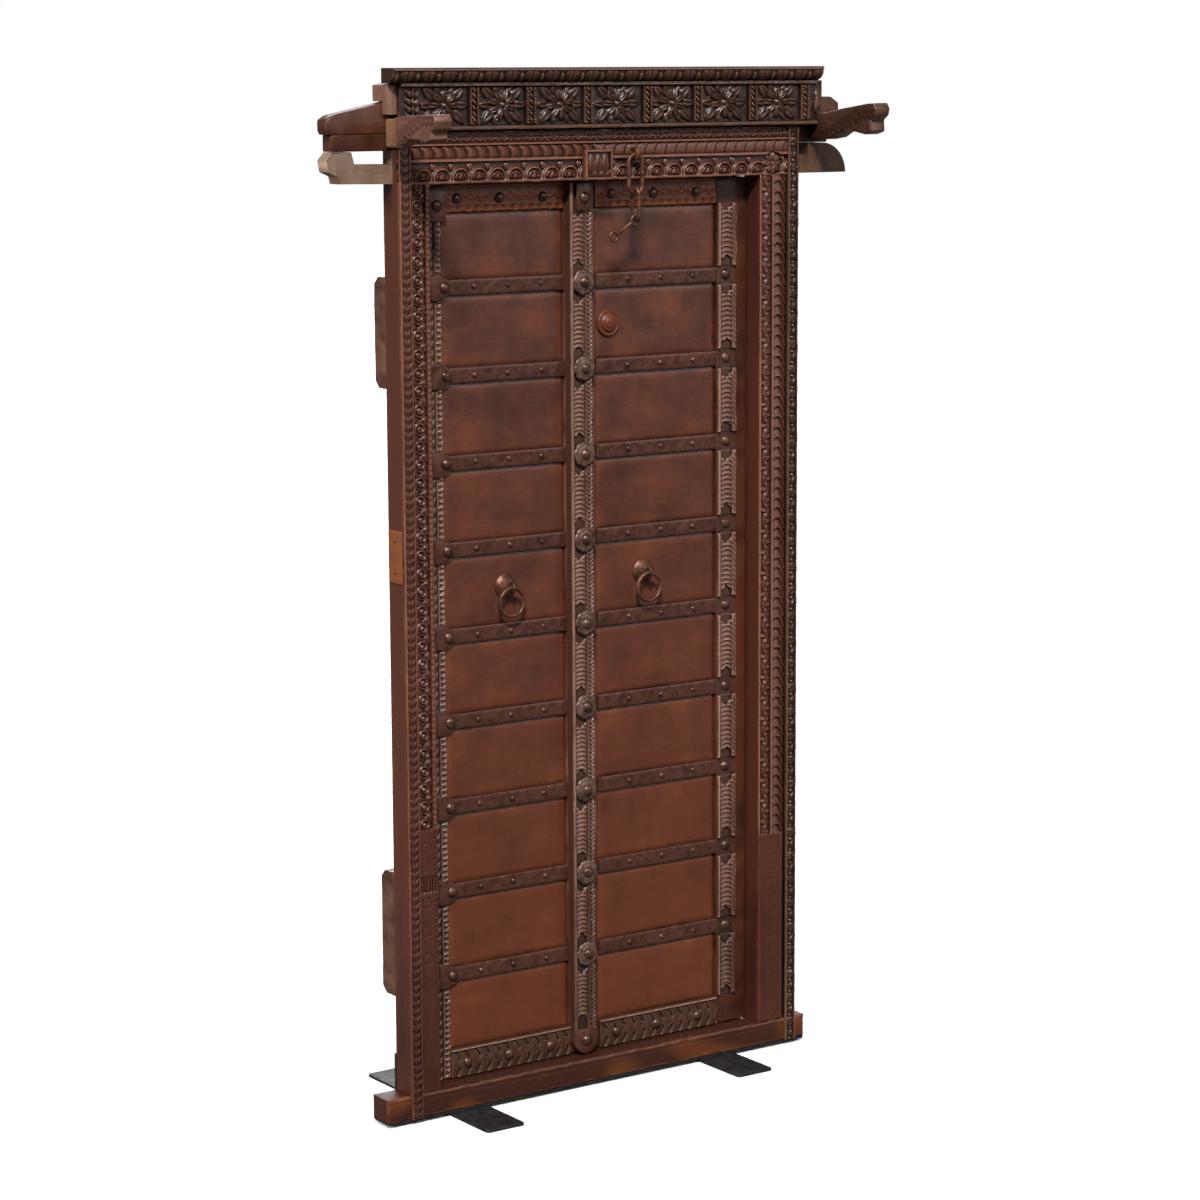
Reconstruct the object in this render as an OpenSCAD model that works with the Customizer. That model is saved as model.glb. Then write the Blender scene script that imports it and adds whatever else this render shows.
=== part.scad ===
// Carved double-leaf temple door in its frame, on a low steel stand.
// +X runs along the door, +Y goes from the carved front to the back, +Z is up.

/* [Frame] */
// Width over both jambs
frame_w = 1000; // [900:10:1200]
// Depth of jambs, sill and lintel, front to back
frame_d = 58; // [50:1:70]
// Clear height between sill and lintel
opening_h = 1866; // [1700:1:2100]
// Width of the left jamb
left_jamb_w = 72; // [60:1:90]
// Width of the right jamb
right_jamb_w = 98; // [80:1:120]
// Width of the carved strip nailed down the outer edge of each jamb
outer_strip_w = 26; // [20:1:30]
// Thickness of that outer strip
outer_strip_t = 6; // [4:1:8]

/* [Sill] */
// Height of the sill beam
sill_h = 51; // [40:1:70]
// Length of the sill beam beyond the left jamb
sill_horn_left = 57; // [30:1:90]
// Length of the sill beam beyond the right jamb
sill_horn_right = 31; // [20:1:90]
// Height of the fillet along the sill's front edge
sill_fillet = 5; // [2:1:8]
// Depth of the rear rails that hold the leaf pivots
rear_rail_d = 46; // [40:1:70]

/* [Lintel and cornice] */
// Height of the lintel's carved face
lintel_h = 102; // [95:1:130]
// Height of the lintel beam behind its face, and of its horns
lintel_beam_h = 67; // [60:1:85]
// Distance from the carved face back to the front of the horns
horn_setback = 22; // [15:1:30]
// Length of the horns beyond the jambs
horn_l = 150; // [110:1:170]
// Height of the head beam above the lintel beam
head_beam_h = 33; // [25:1:45]
// Height of the cornice rail
cornice_rail_h = 64; // [50:1:80]
// Height of the left end of the cornice rail, which tapers
cornice_rail_tip_h = 38; // [25:1:45]
// Height of the back board above the cornice rail
back_board_h = 37; // [25:1:50]
// Thickness of the head beam, cornice rail and back board
rail_d = 38; // [30:1:45]
// Projection of the frieze board in front of the frame's face
frieze_proud = 15; // [5:1:25]
// Height of the frieze board
frieze_h = 92; // [80:1:110]
// Distance of the frieze board's left end inside the left jamb's outer side
frieze_inset_left = 2; // [1:1:20]
// Length of the frieze board beyond the right jamb
frieze_over_right = 45; // [20:1:60]
// Height of the crown moulding
crown_h = 30; // [20:1:40]
// Projection of the crown in front of the frieze board
crown_proud = 17; // [8:1:25]
// Length of the crown beyond the frieze board's left end
crown_over_left = 25; // [10:1:30]
// Length of the crown beyond the frieze board's right end
crown_over_right = 3; // [1:1:30]
// Width of the carved block at the middle of the lintel
centre_block_w = 68; // [50:1:90]
// Place of that block's centre, left of the frame's centre
centre_block_x = 24; // [0:1:40]
// Height of that block
centre_block_h = 62; // [40:1:80]
// Height of that block above the lintel's face
centre_block_t = 12; // [6:1:16]

/* [Brackets] */
// Reach of the bracket heads in front of the frame's face
bracket_reach = 205; // [150:1:240]
// Width of each bracket
bracket_w = 40; // [30:1:50]
// Height of each bracket over its back
bracket_h = 64; // [55:1:75]
// Rise of the left bracket's muzzle above its back
left_muzzle_rise = 2; // [0:1:20]
// Rise of the right bracket's muzzle above its back
right_muzzle_rise = 14; // [0:1:20]

/* [Leaves] */
// Thickness of the leaf stiles and rails
leaf_t = 38; // [34:1:44]
// Recess of the leaves behind the frame's face
leaf_recess = 48; // [40:1:52]
// Gap below the leaves, between them and at the right jamb
leaf_gap = 4; // [3:0.5:6]
// Gap above the leaves and at the left jamb
tight_gap = 3; // [2:0.5:6]
// Place of the line where the leaves meet, right of the frame's centre
meeting_x = 4; // [-20:1:20]
// Width of the left leaf's hinge stile
left_stile_w = 52; // [46:1:70]
// Width of the right leaf's hinge stile
right_stile_w = 78; // [70:1:95]
// Width of the left leaf's inner stile, behind the meeting stile
inner_stile_w = 74; // [70:1:90]
// Height of the top rails
top_rail_h = 55; // [40:1:70]
// Height of the bottom rails
bottom_rail_h = 60; // [45:1:75]
// Thickness of the panel boards
panel_t = 20; // [16:1:22]
// Recess of the panel boards behind the stiles
panel_recess = 6; // [4:1:8]
// Number of iron straps across each leaf
strap_n = 9; // [5:1:11]
// Height of each strap
strap_h = 31; // [24:1:40]
// Diameter of the small rivet heads
rivet_d = 13; // [9:1:16]
// Width of the raised meeting stile
meeting_w = 54; // [44:1:60]
// Height of the meeting stile above the leaf's face
meeting_t = 22; // [14:1:26]
// Diameter of the round bosses on the meeting stile
boss_d = 54; // [44:1:56]
// Distance from the bosses' centres to the edge where the leaves meet
boss_inset = 42; // [38:1:48]
// Thickness of each boss disc
boss_t = 7; // [4:1:9]
// Width of the carved strip on the right leaf's hinge stile
carved_stile_w = 47; // [36:1:50]
// Height of that carved strip above the stile
carved_stile_t = 9; // [5:1:12]
// Number of ledges across the back of each leaf
ledge_n = 5; // [3:1:7]
// Height of each back ledge
ledge_h = 60; // [40:1:80]
// Thickness of each back ledge
ledge_t = 20; // [12:1:24]

/* [Leaf pivots] */
// Diameter of the pivot pins
pivot_d = 20; // [16:1:22]
// Distance from the leaf's outer edge to the pivot's centre
pivot_inset = 20; // [18:1:24]
// Distance from the leaf's face back to the pivot's centre
pivot_depth = 26; // [24:1:28]
// Length of the lower pivot pin
lower_pivot_l = 29; // [20:1:32]
// Length of the upper pivot pin
upper_pivot_l = 40; // [25:1:50]
// Radial clearance of the pins in their sockets
pivot_fit = 0.05; // [0.02:0.01:0.1]

/* [Ring pulls] */
// Outer diameter of the pull rings
ring_d = 68; // [55:1:80]
// Wire diameter of the pull rings
ring_wire = 9; // [7:0.5:10]
// Diameter of the domed backplate
dome_d = 54; // [44:1:64]
// Height of the domed backplate
dome_h = 12; // [8:1:15]
// Height of the backplates' centres above the floor
pull_z = 1096; // [1000:1:1200]
// Place of the left pull, left of the frame's centre
left_pull_x = 221; // [180:1:260]
// Place of the right pull, right of the frame's centre
right_pull_x = 129; // [100:1:240]
// Wire diameter of the eyes that hold the rings
eye_wire = 5; // [4:0.5:6]
// Inner diameter of those eyes
eye_hole = 13; // [12:0.5:15]

/* [Door chain] */
// Place of the chain, right of the frame's centre
chain_x = 66; // [40:1:120]
// Wire diameter of the staple in the lintel
staple_wire = 8; // [6:0.5:9]
// Height of the staple's lower prong above the lintel's lower edge
prong_up = 42; // [30:1:50]
// Distance between the centres of the staple's prongs
staple_gap = 20; // [20:1:26]
// Projection of the staple's prongs before they bend
staple_proud = 12; // [11:1:16]
// Outer width of the upper link
link_w = 43; // [40:1:48]
// Outer height of the upper link
link_h = 89; // [80:1:100]
// Wire diameter of the upper link
link_wire = 9; // [7:0.5:9]
// Outer height of the lower link
lower_h = 72; // [64:1:84]
// Wire diameter of the lower link
lower_wire = 8; // [6:0.5:8]
// Bend radius of the lower link's ends, to the wire's centre
lower_r = 12; // [12:0.5:13]
// Length of the hasp between the centres of its two eyes
hasp_l = 62; // [50:1:80]
// Lean of the hasp to the left, in degrees from hanging straight down
hasp_lean = 60; // [0:1:65]
// Clearance between pieces that hang in each other
hang_gap = 0.3; // [0.2:0.1:0.5]

/* [Stand] */
// Thickness of the stand's steel
stand_t = 6; // [5:1:10]
// Width of each cross foot
foot_w = 93; // [60:1:120]
// Reach of the feet in front of the frame's face
foot_front = 135; // [110:1:180]
// Reach of the feet behind the frame's face
foot_back = 345; // [250:1:400]
// Place of the left foot's centre, left of the frame's centre
left_foot_x = 355; // [250:1:400]
// Place of the right foot's centre, right of the frame's centre
right_foot_x = 291; // [250:1:400]
// Height of the uprights behind the jambs
upright_h = 128; // [90:1:180]
// Width of the uprights
upright_w = 40; // [25:1:50]
// Diameter of the screws through the uprights
screw_d = 6; // [4:0.5:8]

/* [Hidden] */
$fn = 48;

// Heights, from the floor up
sill_z = 2 * stand_t;
sill_top = sill_z + sill_h;
lintel_z = sill_top + opening_h;
lintel_top = lintel_z + lintel_h;
head_beam_z = lintel_z + lintel_beam_h;
cornice_rail_z = head_beam_z + head_beam_h;
back_board_z = cornice_rail_z + cornice_rail_h;
frieze_z = lintel_top + 5;
crown_z = frieze_z + frieze_h;

// Frame, left to right and front to back
half_w = frame_w / 2;
opening_l = -half_w + left_jamb_w;
opening_r = half_w - right_jamb_w;
rail_back = horn_setback + rail_d;
sill_l = -half_w - sill_horn_left;
sill_r = half_w + sill_horn_right;
frieze_l = -half_w + frieze_inset_left;
end_block_w = 24;
frieze_r = half_w + frieze_over_right;

// Leaves
leaf_z0 = sill_top + leaf_gap;
leaf_z1 = lintel_z - tight_gap;
leaf_l = opening_l + tight_gap;
leaf_r = opening_r - leaf_gap;
left_edge = meeting_x - leaf_gap / 2;
right_edge = meeting_x + leaf_gap / 2;
leaf_back = leaf_recess + leaf_t;
panel_y = leaf_recess + panel_recess;
panel_z0 = leaf_z0 + bottom_rail_h;
panel_z1 = leaf_z1 - top_rail_h;
left_panel_x0 = leaf_l + left_stile_w;
left_panel_x1 = left_edge - inner_stile_w;
right_panel_x1 = leaf_r - right_stile_w;
strap_pitch = (panel_z1 - panel_z0) / (strap_n + 0.75);
strap_z0 = panel_z0 + 0.9 * strap_pitch;
rivet_h = 4;
plate_t = 3;
rail_proud = 6;
boss_x = left_edge - boss_inset;
meeting_x0 = left_edge - inner_stile_w;
meeting_y = leaf_recess - meeting_t;
foot_plate_h = 52;
foot_plate_r = 30;
foot_plate_x = meeting_x0 + foot_plate_r;

// Pivots
pivot_y = leaf_recess + pivot_depth;
left_pivot_x = leaf_l + pivot_inset;
right_pivot_x = leaf_r - pivot_inset;
socket_r = pivot_d / 2 + pivot_fit;
rear_rail_half = half_w - 45;

// Cleats and repair patch
cleat_w = 30;
cleat_cut = 14;
upper_cleat_reach = 45;
lower_cleat_reach = 52;
patch_z0 = sill_top + 1067;
patch_h = 108;
patch_t = 3;

// Pulls
eye_r = (eye_hole + eye_wire) / 2;
eye_y = panel_y - dome_h - eye_r - eye_wire / 2;
ring_r = (ring_d - ring_wire) / 2;
ring_top_z = pull_z - (eye_hole - ring_wire) / 2 + hang_gap;
ring_z = ring_top_z - ring_r;

// Chain
prong_z = lintel_z + prong_up;
staple_z = prong_z + staple_gap / 2;
chain_y = -staple_proud;
link_r = (link_w - link_wire) / 2;
link_top = prong_z + staple_wire / 2 + hang_gap + link_wire / 2;
link_bottom = link_top - link_h + link_wire;
lower_top = link_bottom + (link_wire + lower_wire) / 2 + hang_gap;
lower_bottom = lower_top - lower_h + lower_wire;
hasp_wire = 7;
hasp_eye_hole = 12;
hasp_eye_r = (hasp_eye_hole + hasp_wire) / 2;
hasp_eye_at = (hasp_eye_hole - lower_wire) / 2 - hang_gap;

// The origin is on the floor, under the middle of the overall box
mid_y = (foot_back - bracket_reach) / 2;

wood = [0.30, 0.15, 0.10];
dark_wood = [0.17, 0.10, 0.08];
warm_wood = [0.42, 0.21, 0.12];
grey_wood = [0.33, 0.25, 0.20];
iron = [0.26, 0.19, 0.16];
rust_iron = [0.42, 0.27, 0.20];
black_steel = [0.07, 0.07, 0.07];

// ---------- shared shapes ----------

// Moves the model from the frame's own axes to the origin under the overall box
module place() {
    translate([0, -mid_y, 0]) children();
}

// A plain block between two corners
module block(a, b) {
    translate(a) cube(b - a);
}

// A side profile drawn as [y, z] points, extruded along X from x0 to x1
module side_profile(points, x0, x1) {
    translate([x0, 0, 0]) rotate([90, 0, 90])
        linear_extrude(x1 - x0) polygon(points);
}

// A front outline drawn as [x, z] points, extruded along Y from y0 to y1
module front_profile(points, y0, y1) {
    translate([0, y1, 0]) rotate([90, 0, 0])
        linear_extrude(y1 - y0) polygon(points);
}

// A domed head standing on the plane y = 0 and pointing to -Y
module dome_head(d, h) {
    sphere_r = (d * d / 4 + h * h) / (2 * h);
    rotate([90, 0, 0]) rotate_extrude()
        intersection() {
            translate([0, h - sphere_r]) circle(sphere_r, $fn = 96);
            square([d / 2, h]);
        }
}

// Half of a bent wire ring in the XZ plane; up = 1 is the upper half
module half_ring(r, d, up) {
    rotate([90, 0, 0]) rotate_extrude(angle = 180 * up)
        translate([r, 0]) circle(d = d);
}

// A long wire link in the XZ plane; its wire's centre runs from z0 up to z1
module long_link(r, d, z0, z1) {
    translate([0, 0, z1 - r]) half_ring(r, d, 1);
    translate([0, 0, z0 + r]) half_ring(r, d, -1);
    for (x = [-r, r])
        translate([x, 0, z0 + r]) cylinder(d = d, h = z1 - z0 - 2 * r);
}

// A whole wire ring in the XZ plane
module wire_ring(r, d) {
    rotate([90, 0, 0]) rotate_extrude() translate([r, 0]) circle(d = d);
}

function strap_z(i) = strap_z0 + i * strap_pitch;
function rivet_x(x0, x1, k) = x0 + (x1 - x0) * (0.26 + 0.27 * k);
function ledge_z(i) = strap_z(0) + i * (strap_z(strap_n - 1) - strap_z(0)) / (ledge_n - 1);

// ---------- frame ----------

module left_jamb() {
    color(wood) block([-half_w, 0, sill_top], [opening_l, frame_d, lintel_z]);
}

module right_jamb() {
    color(wood) block([opening_r, 0, sill_top], [half_w, frame_d, lintel_z]);
}

module left_outer_strip() {
    color(dark_wood)
        block([-half_w, -outer_strip_t, sill_z], [-half_w + outer_strip_w, 0, lintel_top]);
}

module right_outer_strip() {
    color(dark_wood)
        block([half_w - outer_strip_w, -outer_strip_t, sill_z], [half_w, 0, lintel_top]);
}

// The sill beam, with a fillet cut along its front edge between the jambs
module sill() {
    color(warm_wood) difference() {
        block([sill_l, 0, sill_z], [sill_r, frame_d, sill_top]);
        side_profile(
            [[-1, sill_top + 1], [sill_fillet, sill_top + 1], [-1, sill_top - sill_fillet]],
            opening_l, opening_r);
    }
}

// Plank behind the sill, bored for the lower pivots
module sill_rear_rail() {
    color(wood) difference() {
        block([-rear_rail_half, frame_d, sill_z],
              [rear_rail_half, frame_d + rear_rail_d, sill_top]);
        for (x = [left_pivot_x, right_pivot_x])
            translate([x, pivot_y, leaf_z0 - lower_pivot_l - hang_gap])
                cylinder(r = socket_r, h = sill_h);
    }
}

// The lintel: carved face in front, beam and horns behind, notched beside the jambs
module lintel() {
    horn_x = half_w + horn_l;
    color(wood) difference() {
        union() {
            side_profile(
                [[0, lintel_z], [frame_d, lintel_z], [frame_d, head_beam_z],
                 [horn_setback, head_beam_z], [horn_setback, lintel_top], [0, lintel_top]],
                -half_w, half_w);
            lintel_left_horn(horn_x);
            lintel_right_horn(horn_x);
            translate([-centre_block_x - centre_block_w / 2, -centre_block_t, lintel_z])
                cube([centre_block_w, centre_block_t, centre_block_h]);
        }
        for (z = [prong_z, prong_z + staple_gap])
            translate([chain_x, horn_setback, z]) rotate([90, 0, 0])
                cylinder(d = staple_wire + 2 * pivot_fit, h = 2 * horn_setback);
    }
}

// The left horn is broken and worn away below and at its tip
module lintel_left_horn(horn_x) {
    top = head_beam_z;
    front_profile(
        [[-half_w, lintel_z + 2], [-horn_x + 28, lintel_z + 4], [-horn_x + 24, lintel_z + 19],
         [-horn_x + 4, lintel_z + 28], [-horn_x, lintel_z + 50], [-horn_x + 14, top - 1],
         [-horn_x + 56, top - 1], [-horn_x + 63, top - 25], [-half_w, top - 26]],
        horn_setback, frame_d);
}

// The right horn is whole, with a quarter-round end
module lintel_right_horn(horn_x) {
    round_r = lintel_beam_h - 3;
    steps = 12;
    arc = [for (i = [0:steps])
        [horn_x - round_r + round_r * sin(90 * i / steps),
         lintel_z + 2 + round_r * cos(90 * i / steps)]];
    front_profile(
        concat([[half_w, lintel_z + 2], [half_w, head_beam_z - 25],
                [half_w + 44, head_beam_z - 25], [half_w + 44, lintel_z + 2 + round_r]],
               arc),
        horn_setback, frame_d);
}

// Plank behind the lintel, bored for the upper pivots
module lintel_rear_rail() {
    color(wood) difference() {
        block([-rear_rail_half, frame_d, lintel_z],
              [rear_rail_half, frame_d + rear_rail_d, head_beam_z - 1]);
        for (x = [left_pivot_x, right_pivot_x])
            translate([x, pivot_y, lintel_z - 1])
                cylinder(r = socket_r, h = lintel_beam_h + 2);
    }
}

module head_beam() {
    color(warm_wood)
        block([-half_w - horn_l + 12, horn_setback, head_beam_z],
              [half_w + 100, rail_back, cornice_rail_z]);
}

// The cornice rail, tapered down to its left tip
module cornice_rail() {
    tip_x = -half_w - horn_l;
    z = cornice_rail_z;
    color(wood)
        front_profile(
            [[tip_x + 4, z], [half_w + horn_l - 18, z],
             [half_w + horn_l - 18, z + cornice_rail_h - 14],
             [half_w + horn_l - 40, z + cornice_rail_h],
             [-half_w - 4, z + cornice_rail_h], [tip_x + 16, z + cornice_rail_tip_h],
             [tip_x, z + cornice_rail_tip_h - 10], [tip_x, z + 8]],
            horn_setback, rail_back);
}

// Board above the cornice rail, with an end block that closes its left end
module back_board() {
    top = back_board_z + back_board_h;
    block_l = frieze_l - end_block_w;
    color(wood) {
        front_profile(
            [[block_l, back_board_z], [frieze_r - 5, back_board_z], [frieze_r - 5, top],
             [frieze_l, top], [block_l, top - 6]],
            horn_setback, rail_back);
        front_profile(
            [[block_l, bracket_z() + bracket_h], [frieze_l, bracket_z() + bracket_h],
             [frieze_l, crown_z], [block_l, crown_z - 6]],
            4, horn_setback);
    }
}

// The frieze board, with an ear that closes its right end above the bracket
module frieze_board() {
    ear_z = bracket_z() + bracket_h + 5;
    color(dark_wood)
        front_profile(
            [[frieze_l, frieze_z], [frieze_r, frieze_z], [frieze_r, ear_z],
             [frieze_r + 18, ear_z], [frieze_r + 18, crown_z], [frieze_l, crown_z]],
            -frieze_proud, horn_setback);
}

// Crown moulding: a hollow below a rounded nose
module cornice_crown() {
    front = -frieze_proud - crown_proud;
    nose_r = crown_h / 3;
    steps = 8;
    nose = [for (i = [0:steps])
        [front + nose_r - nose_r * sin(180 * i / steps),
         crown_z + crown_h - nose_r - nose_r * cos(180 * i / steps)]];
    color(dark_wood)
        side_profile(
            concat([[horn_setback, crown_z], [-frieze_proud, crown_z],
                    [front + nose_r, crown_z + crown_h - 2 * nose_r]],
                   nose, [[horn_setback, crown_z + crown_h]]),
            frieze_l - crown_over_left, frieze_r + crown_over_right);
}

// ---------- brackets ----------

function bracket_z() = cornice_rail_z - 26;

// Side profile of a bracket head: deep root, rising back, overhanging worn muzzle
function bracket_profile(rise) =
    let (z = bracket_z(), t = bracket_z() + bracket_h, r = bracket_reach)
    [[horn_setback, z], [horn_setback, t - 8], [-0.17 * r, t - 8],
     [-0.40 * r, t - 2 + 0.2 * rise], [-0.85 * r, t + 0.9 * rise], [-0.96 * r, t + rise],
     [-r, t - 12 + rise], [-0.98 * r, t - 26 + rise], [-0.91 * r, t - 34 + 0.8 * rise],
     [-0.92 * r, z + 18], [-0.81 * r, z + 12], [-0.66 * r, z + 17], [-0.44 * r, z + 18],
     [-0.31 * r, z + 5], [-0.14 * r, z]];

// The left bracket's root has split off along its outer side
module left_bracket() {
    outer = -half_w - bracket_w;
    split_y = -0.22 * bracket_reach;
    color(grey_wood) difference() {
        side_profile(bracket_profile(left_muzzle_rise), outer, -half_w);
        translate([outer - 1, split_y, bracket_z() - 1])
            cube([0.6 * bracket_w + 1, horn_setback - split_y + 1, bracket_h + 2]);
    }
}

module right_bracket() {
    color(grey_wood)
        side_profile(bracket_profile(right_muzzle_rise), frieze_r + 2, frieze_r + 2 + bracket_w);
}

// ---------- cleats, patch and staple ----------

// A fixing cleat on the back of a jamb, with chamfered corners
module cleat(x, z0, z1, reach) {
    back = frame_d + reach;
    color(wood)
        side_profile(
            [[frame_d, z0], [back - cleat_cut, z0], [back, z0 + cleat_cut],
             [back, z1 - cleat_cut], [back - cleat_cut, z1], [frame_d, z1]],
            x, x + cleat_w);
}

module upper_cleat(x) { cleat(x, lintel_z - 408, lintel_z - 184, upper_cleat_reach); }
module lower_cleat(x) { cleat(x, sill_top + 198, sill_top + 461, lower_cleat_reach); }
module left_upper_cleat() { upper_cleat(-half_w); }
module left_lower_cleat() { lower_cleat(-half_w); }
module right_upper_cleat() { upper_cleat(half_w - cleat_w); }
module right_lower_cleat() { lower_cleat(half_w - cleat_w); }

// A repair patch of newer wood on the outer side of the left jamb
module side_patch() {
    color(warm_wood)
        block([-half_w - patch_t, 3, patch_z0],
              [-half_w, frame_d - 3, patch_z0 + patch_h]);
}

module patch_nails() {
    color(iron)
        for (z = [patch_z0 + 22, patch_z0 + patch_h - 20])
            translate([-half_w - patch_t, frame_d / 2, z])
                rotate([0, 0, -90]) dome_head(8, 2);
}

// A staple driven into the lintel, its bend standing out in front
module chain_staple() {
    prong_l = staple_proud + horn_setback - 1;
    color(rust_iron) translate([chain_x, -staple_proud, staple_z]) {
        for (z = [-1, 1] * staple_gap / 2)
            translate([0, 0, z]) rotate([-90, 0, 0]) cylinder(d = staple_wire, h = prong_l);
        rotate([0, 0, -90]) rotate([90, 0, 0])
            rotate([0, 0, -90]) rotate_extrude(angle = 180)
                translate([staple_gap / 2, 0]) circle(d = staple_wire);
    }
}

// ---------- stand ----------

module stand_base_bar() {
    color(black_steel)
        block([sill_l + 6, 4, stand_t], [sill_r - 1, frame_d + stand_t, 2 * stand_t]);
}

// A cross foot: a flat plate with rounded corners
module stand_foot(x) {
    r = 8;
    color(black_steel) translate([x - foot_w / 2, -foot_front, 0])
        difference() {
            cube([foot_w, foot_front + foot_back, stand_t]);
            for (i = [0, 1], j = [0, 1])
                translate([i * foot_w, j * (foot_front + foot_back), 0])
                    rotate([0, 0, 90 * (i == j ? 2 * i : 1 + 2 * j)])
                        corner_cut(r);
        }
}

// What a rounded corner of radius r takes off, at the origin of a quadrant
module corner_cut(r) {
    translate([0, 0, -1]) difference() {
        translate([-1, -1, 0]) cube([r + 1, r + 1, stand_t + 2]);
        translate([r, r, -1]) cylinder(r = r, h = stand_t + 4);
    }
}

module stand_left_foot() { stand_foot(-left_foot_x); }
module stand_right_foot() { stand_foot(right_foot_x); }

// Flat uprights welded to the bar, drilled for the screws into the jambs
module stand_uprights() {
    color(black_steel)
        for (x = [-half_w - 2, half_w + 2 - upright_w])
            difference() {
                block([x, frame_d, 2 * stand_t],
                      [x + upright_w, frame_d + stand_t - 1, 2 * stand_t + upright_h]);
                for (z = screw_heights())
                    translate([x + upright_w / 2, frame_d - 1, z]) rotate([-90, 0, 0])
                        cylinder(r = screw_d / 2 + pivot_fit, h = stand_t + 2);
            }
}

function screw_heights() = [sill_top + 22, sill_top + 57];

module stand_screws() {
    color(iron)
        for (x = [-half_w - 2, half_w + 2 - upright_w], z = screw_heights())
            translate([x + upright_w / 2, frame_d, z]) {
                rotate([-90, 0, 0]) cylinder(d = screw_d, h = stand_t - 1);
                translate([0, stand_t - 1, 0]) rotate([0, 0, 180]) dome_head(2 * screw_d, 3);
            }
}

// ---------- leaf pieces shared by both leaves ----------

// A hinge stile with its two pivot pins. The corner behind the pivot is rounded so that
// it turns clear of the jamb; hand = 1 has its outer edge to the left.
module hinge_stile(edge_x, pivot_x, width, hand) {
    color(wood) {
        difference() {
            block([hand > 0 ? edge_x : edge_x - width, leaf_recess, leaf_z0],
                  [hand > 0 ? edge_x + width : edge_x, leaf_back, leaf_z1]);
            translate([edge_x, leaf_back + 1, leaf_z0 - 1]) mirror([hand > 0 ? 0 : 1, 0, 0])
                difference() {
                    translate([-1, -(leaf_back + 1 - pivot_y), 0])
                        cube([pivot_inset + 1, leaf_back + 2 - pivot_y, leaf_z1 - leaf_z0 + 2]);
                    translate([pivot_inset, -(leaf_back + 1 - pivot_y), -1])
                        cylinder(r = pivot_inset, h = leaf_z1 - leaf_z0 + 4, $fn = 96);
                }
        }
        translate([pivot_x, pivot_y, leaf_z0 - lower_pivot_l])
            cylinder(d = pivot_d, h = lower_pivot_l + 1);
        translate([pivot_x, pivot_y, leaf_z1 - 1])
            cylinder(d = pivot_d, h = upper_pivot_l + 1);
    }
}

module top_rail(x0, x1) {
    color(wood) block([x0, leaf_recess, panel_z1], [x1, leaf_back, leaf_z1]);
}

module bottom_rail(x0, x1) {
    color(dark_wood)
        block([x0, leaf_recess - rail_proud, leaf_z0], [x1, leaf_recess, panel_z0]);
    color(dark_wood) block([x0, leaf_recess, leaf_z0], [x1, leaf_back, panel_z0]);
}

module panel_board(x0, x1) {
    color(warm_wood) block([x0, panel_y, panel_z0], [x1, panel_y + panel_t, panel_z1]);
}

// Straps fill the panel's recess, so they end up flush with the stiles
module straps(x0, x1) {
    color(iron)
        for (i = [0:strap_n - 1])
            block([x0, leaf_recess, strap_z(i) - strap_h / 2],
                  [x1, panel_y, strap_z(i) + strap_h / 2]);
}

module strap_rivets(x0, x1) {
    color(iron)
        for (i = [0:strap_n - 1], k = [0:2])
            translate([rivet_x(x0, x1, k), leaf_recess, strap_z(i)])
                dome_head(rivet_d, rivet_h);
}

// Ledges nailed across the back of a leaf
module back_ledges(x0, x1) {
    color(wood)
        for (i = [0:ledge_n - 1])
            block([x0, panel_y + panel_t, ledge_z(i) - ledge_h / 2],
                  [x1, leaf_back + ledge_t, ledge_z(i) + ledge_h / 2]);
}

module pull_dome(x) {
    color(iron) translate([x, panel_y, pull_z]) dome_head(dome_d, dome_h);
}

// An eye in the YZ plane, its stub seated on the top of the dome
module pull_eye(x) {
    color(rust_iron) {
        translate([x, eye_y, pull_z]) rotate([0, 0, 90]) wire_ring(eye_r, eye_wire);
        translate([x, eye_y + eye_r, pull_z]) rotate([-90, 0, 0])
            cylinder(d = eye_wire, h = eye_wire / 2);
    }
}

module ring(x) {
    color(rust_iron) translate([x, eye_y, ring_z]) wire_ring(ring_r, ring_wire);
}

// ---------- left leaf ----------

module left_hinge_stile() { hinge_stile(leaf_l, left_pivot_x, left_stile_w, 1); }

module left_inner_stile() {
    color(wood)
        block([left_panel_x1, leaf_recess, leaf_z0], [left_edge, leaf_back, leaf_z1]);
}

module left_top_rail() { top_rail(left_panel_x0, left_panel_x1); }
module left_bottom_rail() { bottom_rail(left_panel_x0, left_panel_x1); }
module left_panel_board() { panel_board(left_panel_x0, left_panel_x1); }
module left_straps() { straps(left_panel_x0, left_panel_x1); }
module left_strap_rivets() { strap_rivets(left_panel_x0, left_panel_x1); }

// Lobed plates that tie each strap to the hinge stile
module left_stile_plates() {
    color(iron)
        for (i = [0:strap_n - 1])
            translate([left_panel_x0, leaf_recess, strap_z(i)]) rotate([90, 0, 0])
                linear_extrude(plate_t) {
                    translate([2, 0]) circle(20);
                    translate([-28, -26]) square([28, 52]);
                }
    color(iron)
        block([left_panel_x0 - 30, leaf_recess - plate_t, leaf_z1 - 74],
              [left_panel_x0 + 12, leaf_recess, leaf_z1 - 2]);
}

module left_plate_rivets() {
    color(iron) {
        for (i = [0:strap_n - 1])
            translate([left_panel_x0 + 6, leaf_recess - plate_t, strap_z(i)])
                dome_head(19, 7);
        translate([left_panel_x0 - 12, leaf_recess - plate_t, leaf_z1 - 42])
            dome_head(19, 7);
    }
}

// The raised meeting stile, which stays on the left leaf
module meeting_stile() {
    color(grey_wood)
        block([meeting_x0, meeting_y, leaf_z0 + foot_plate_h],
              [meeting_x0 + meeting_w, leaf_recess, leaf_z1 - 2]);
}

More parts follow.
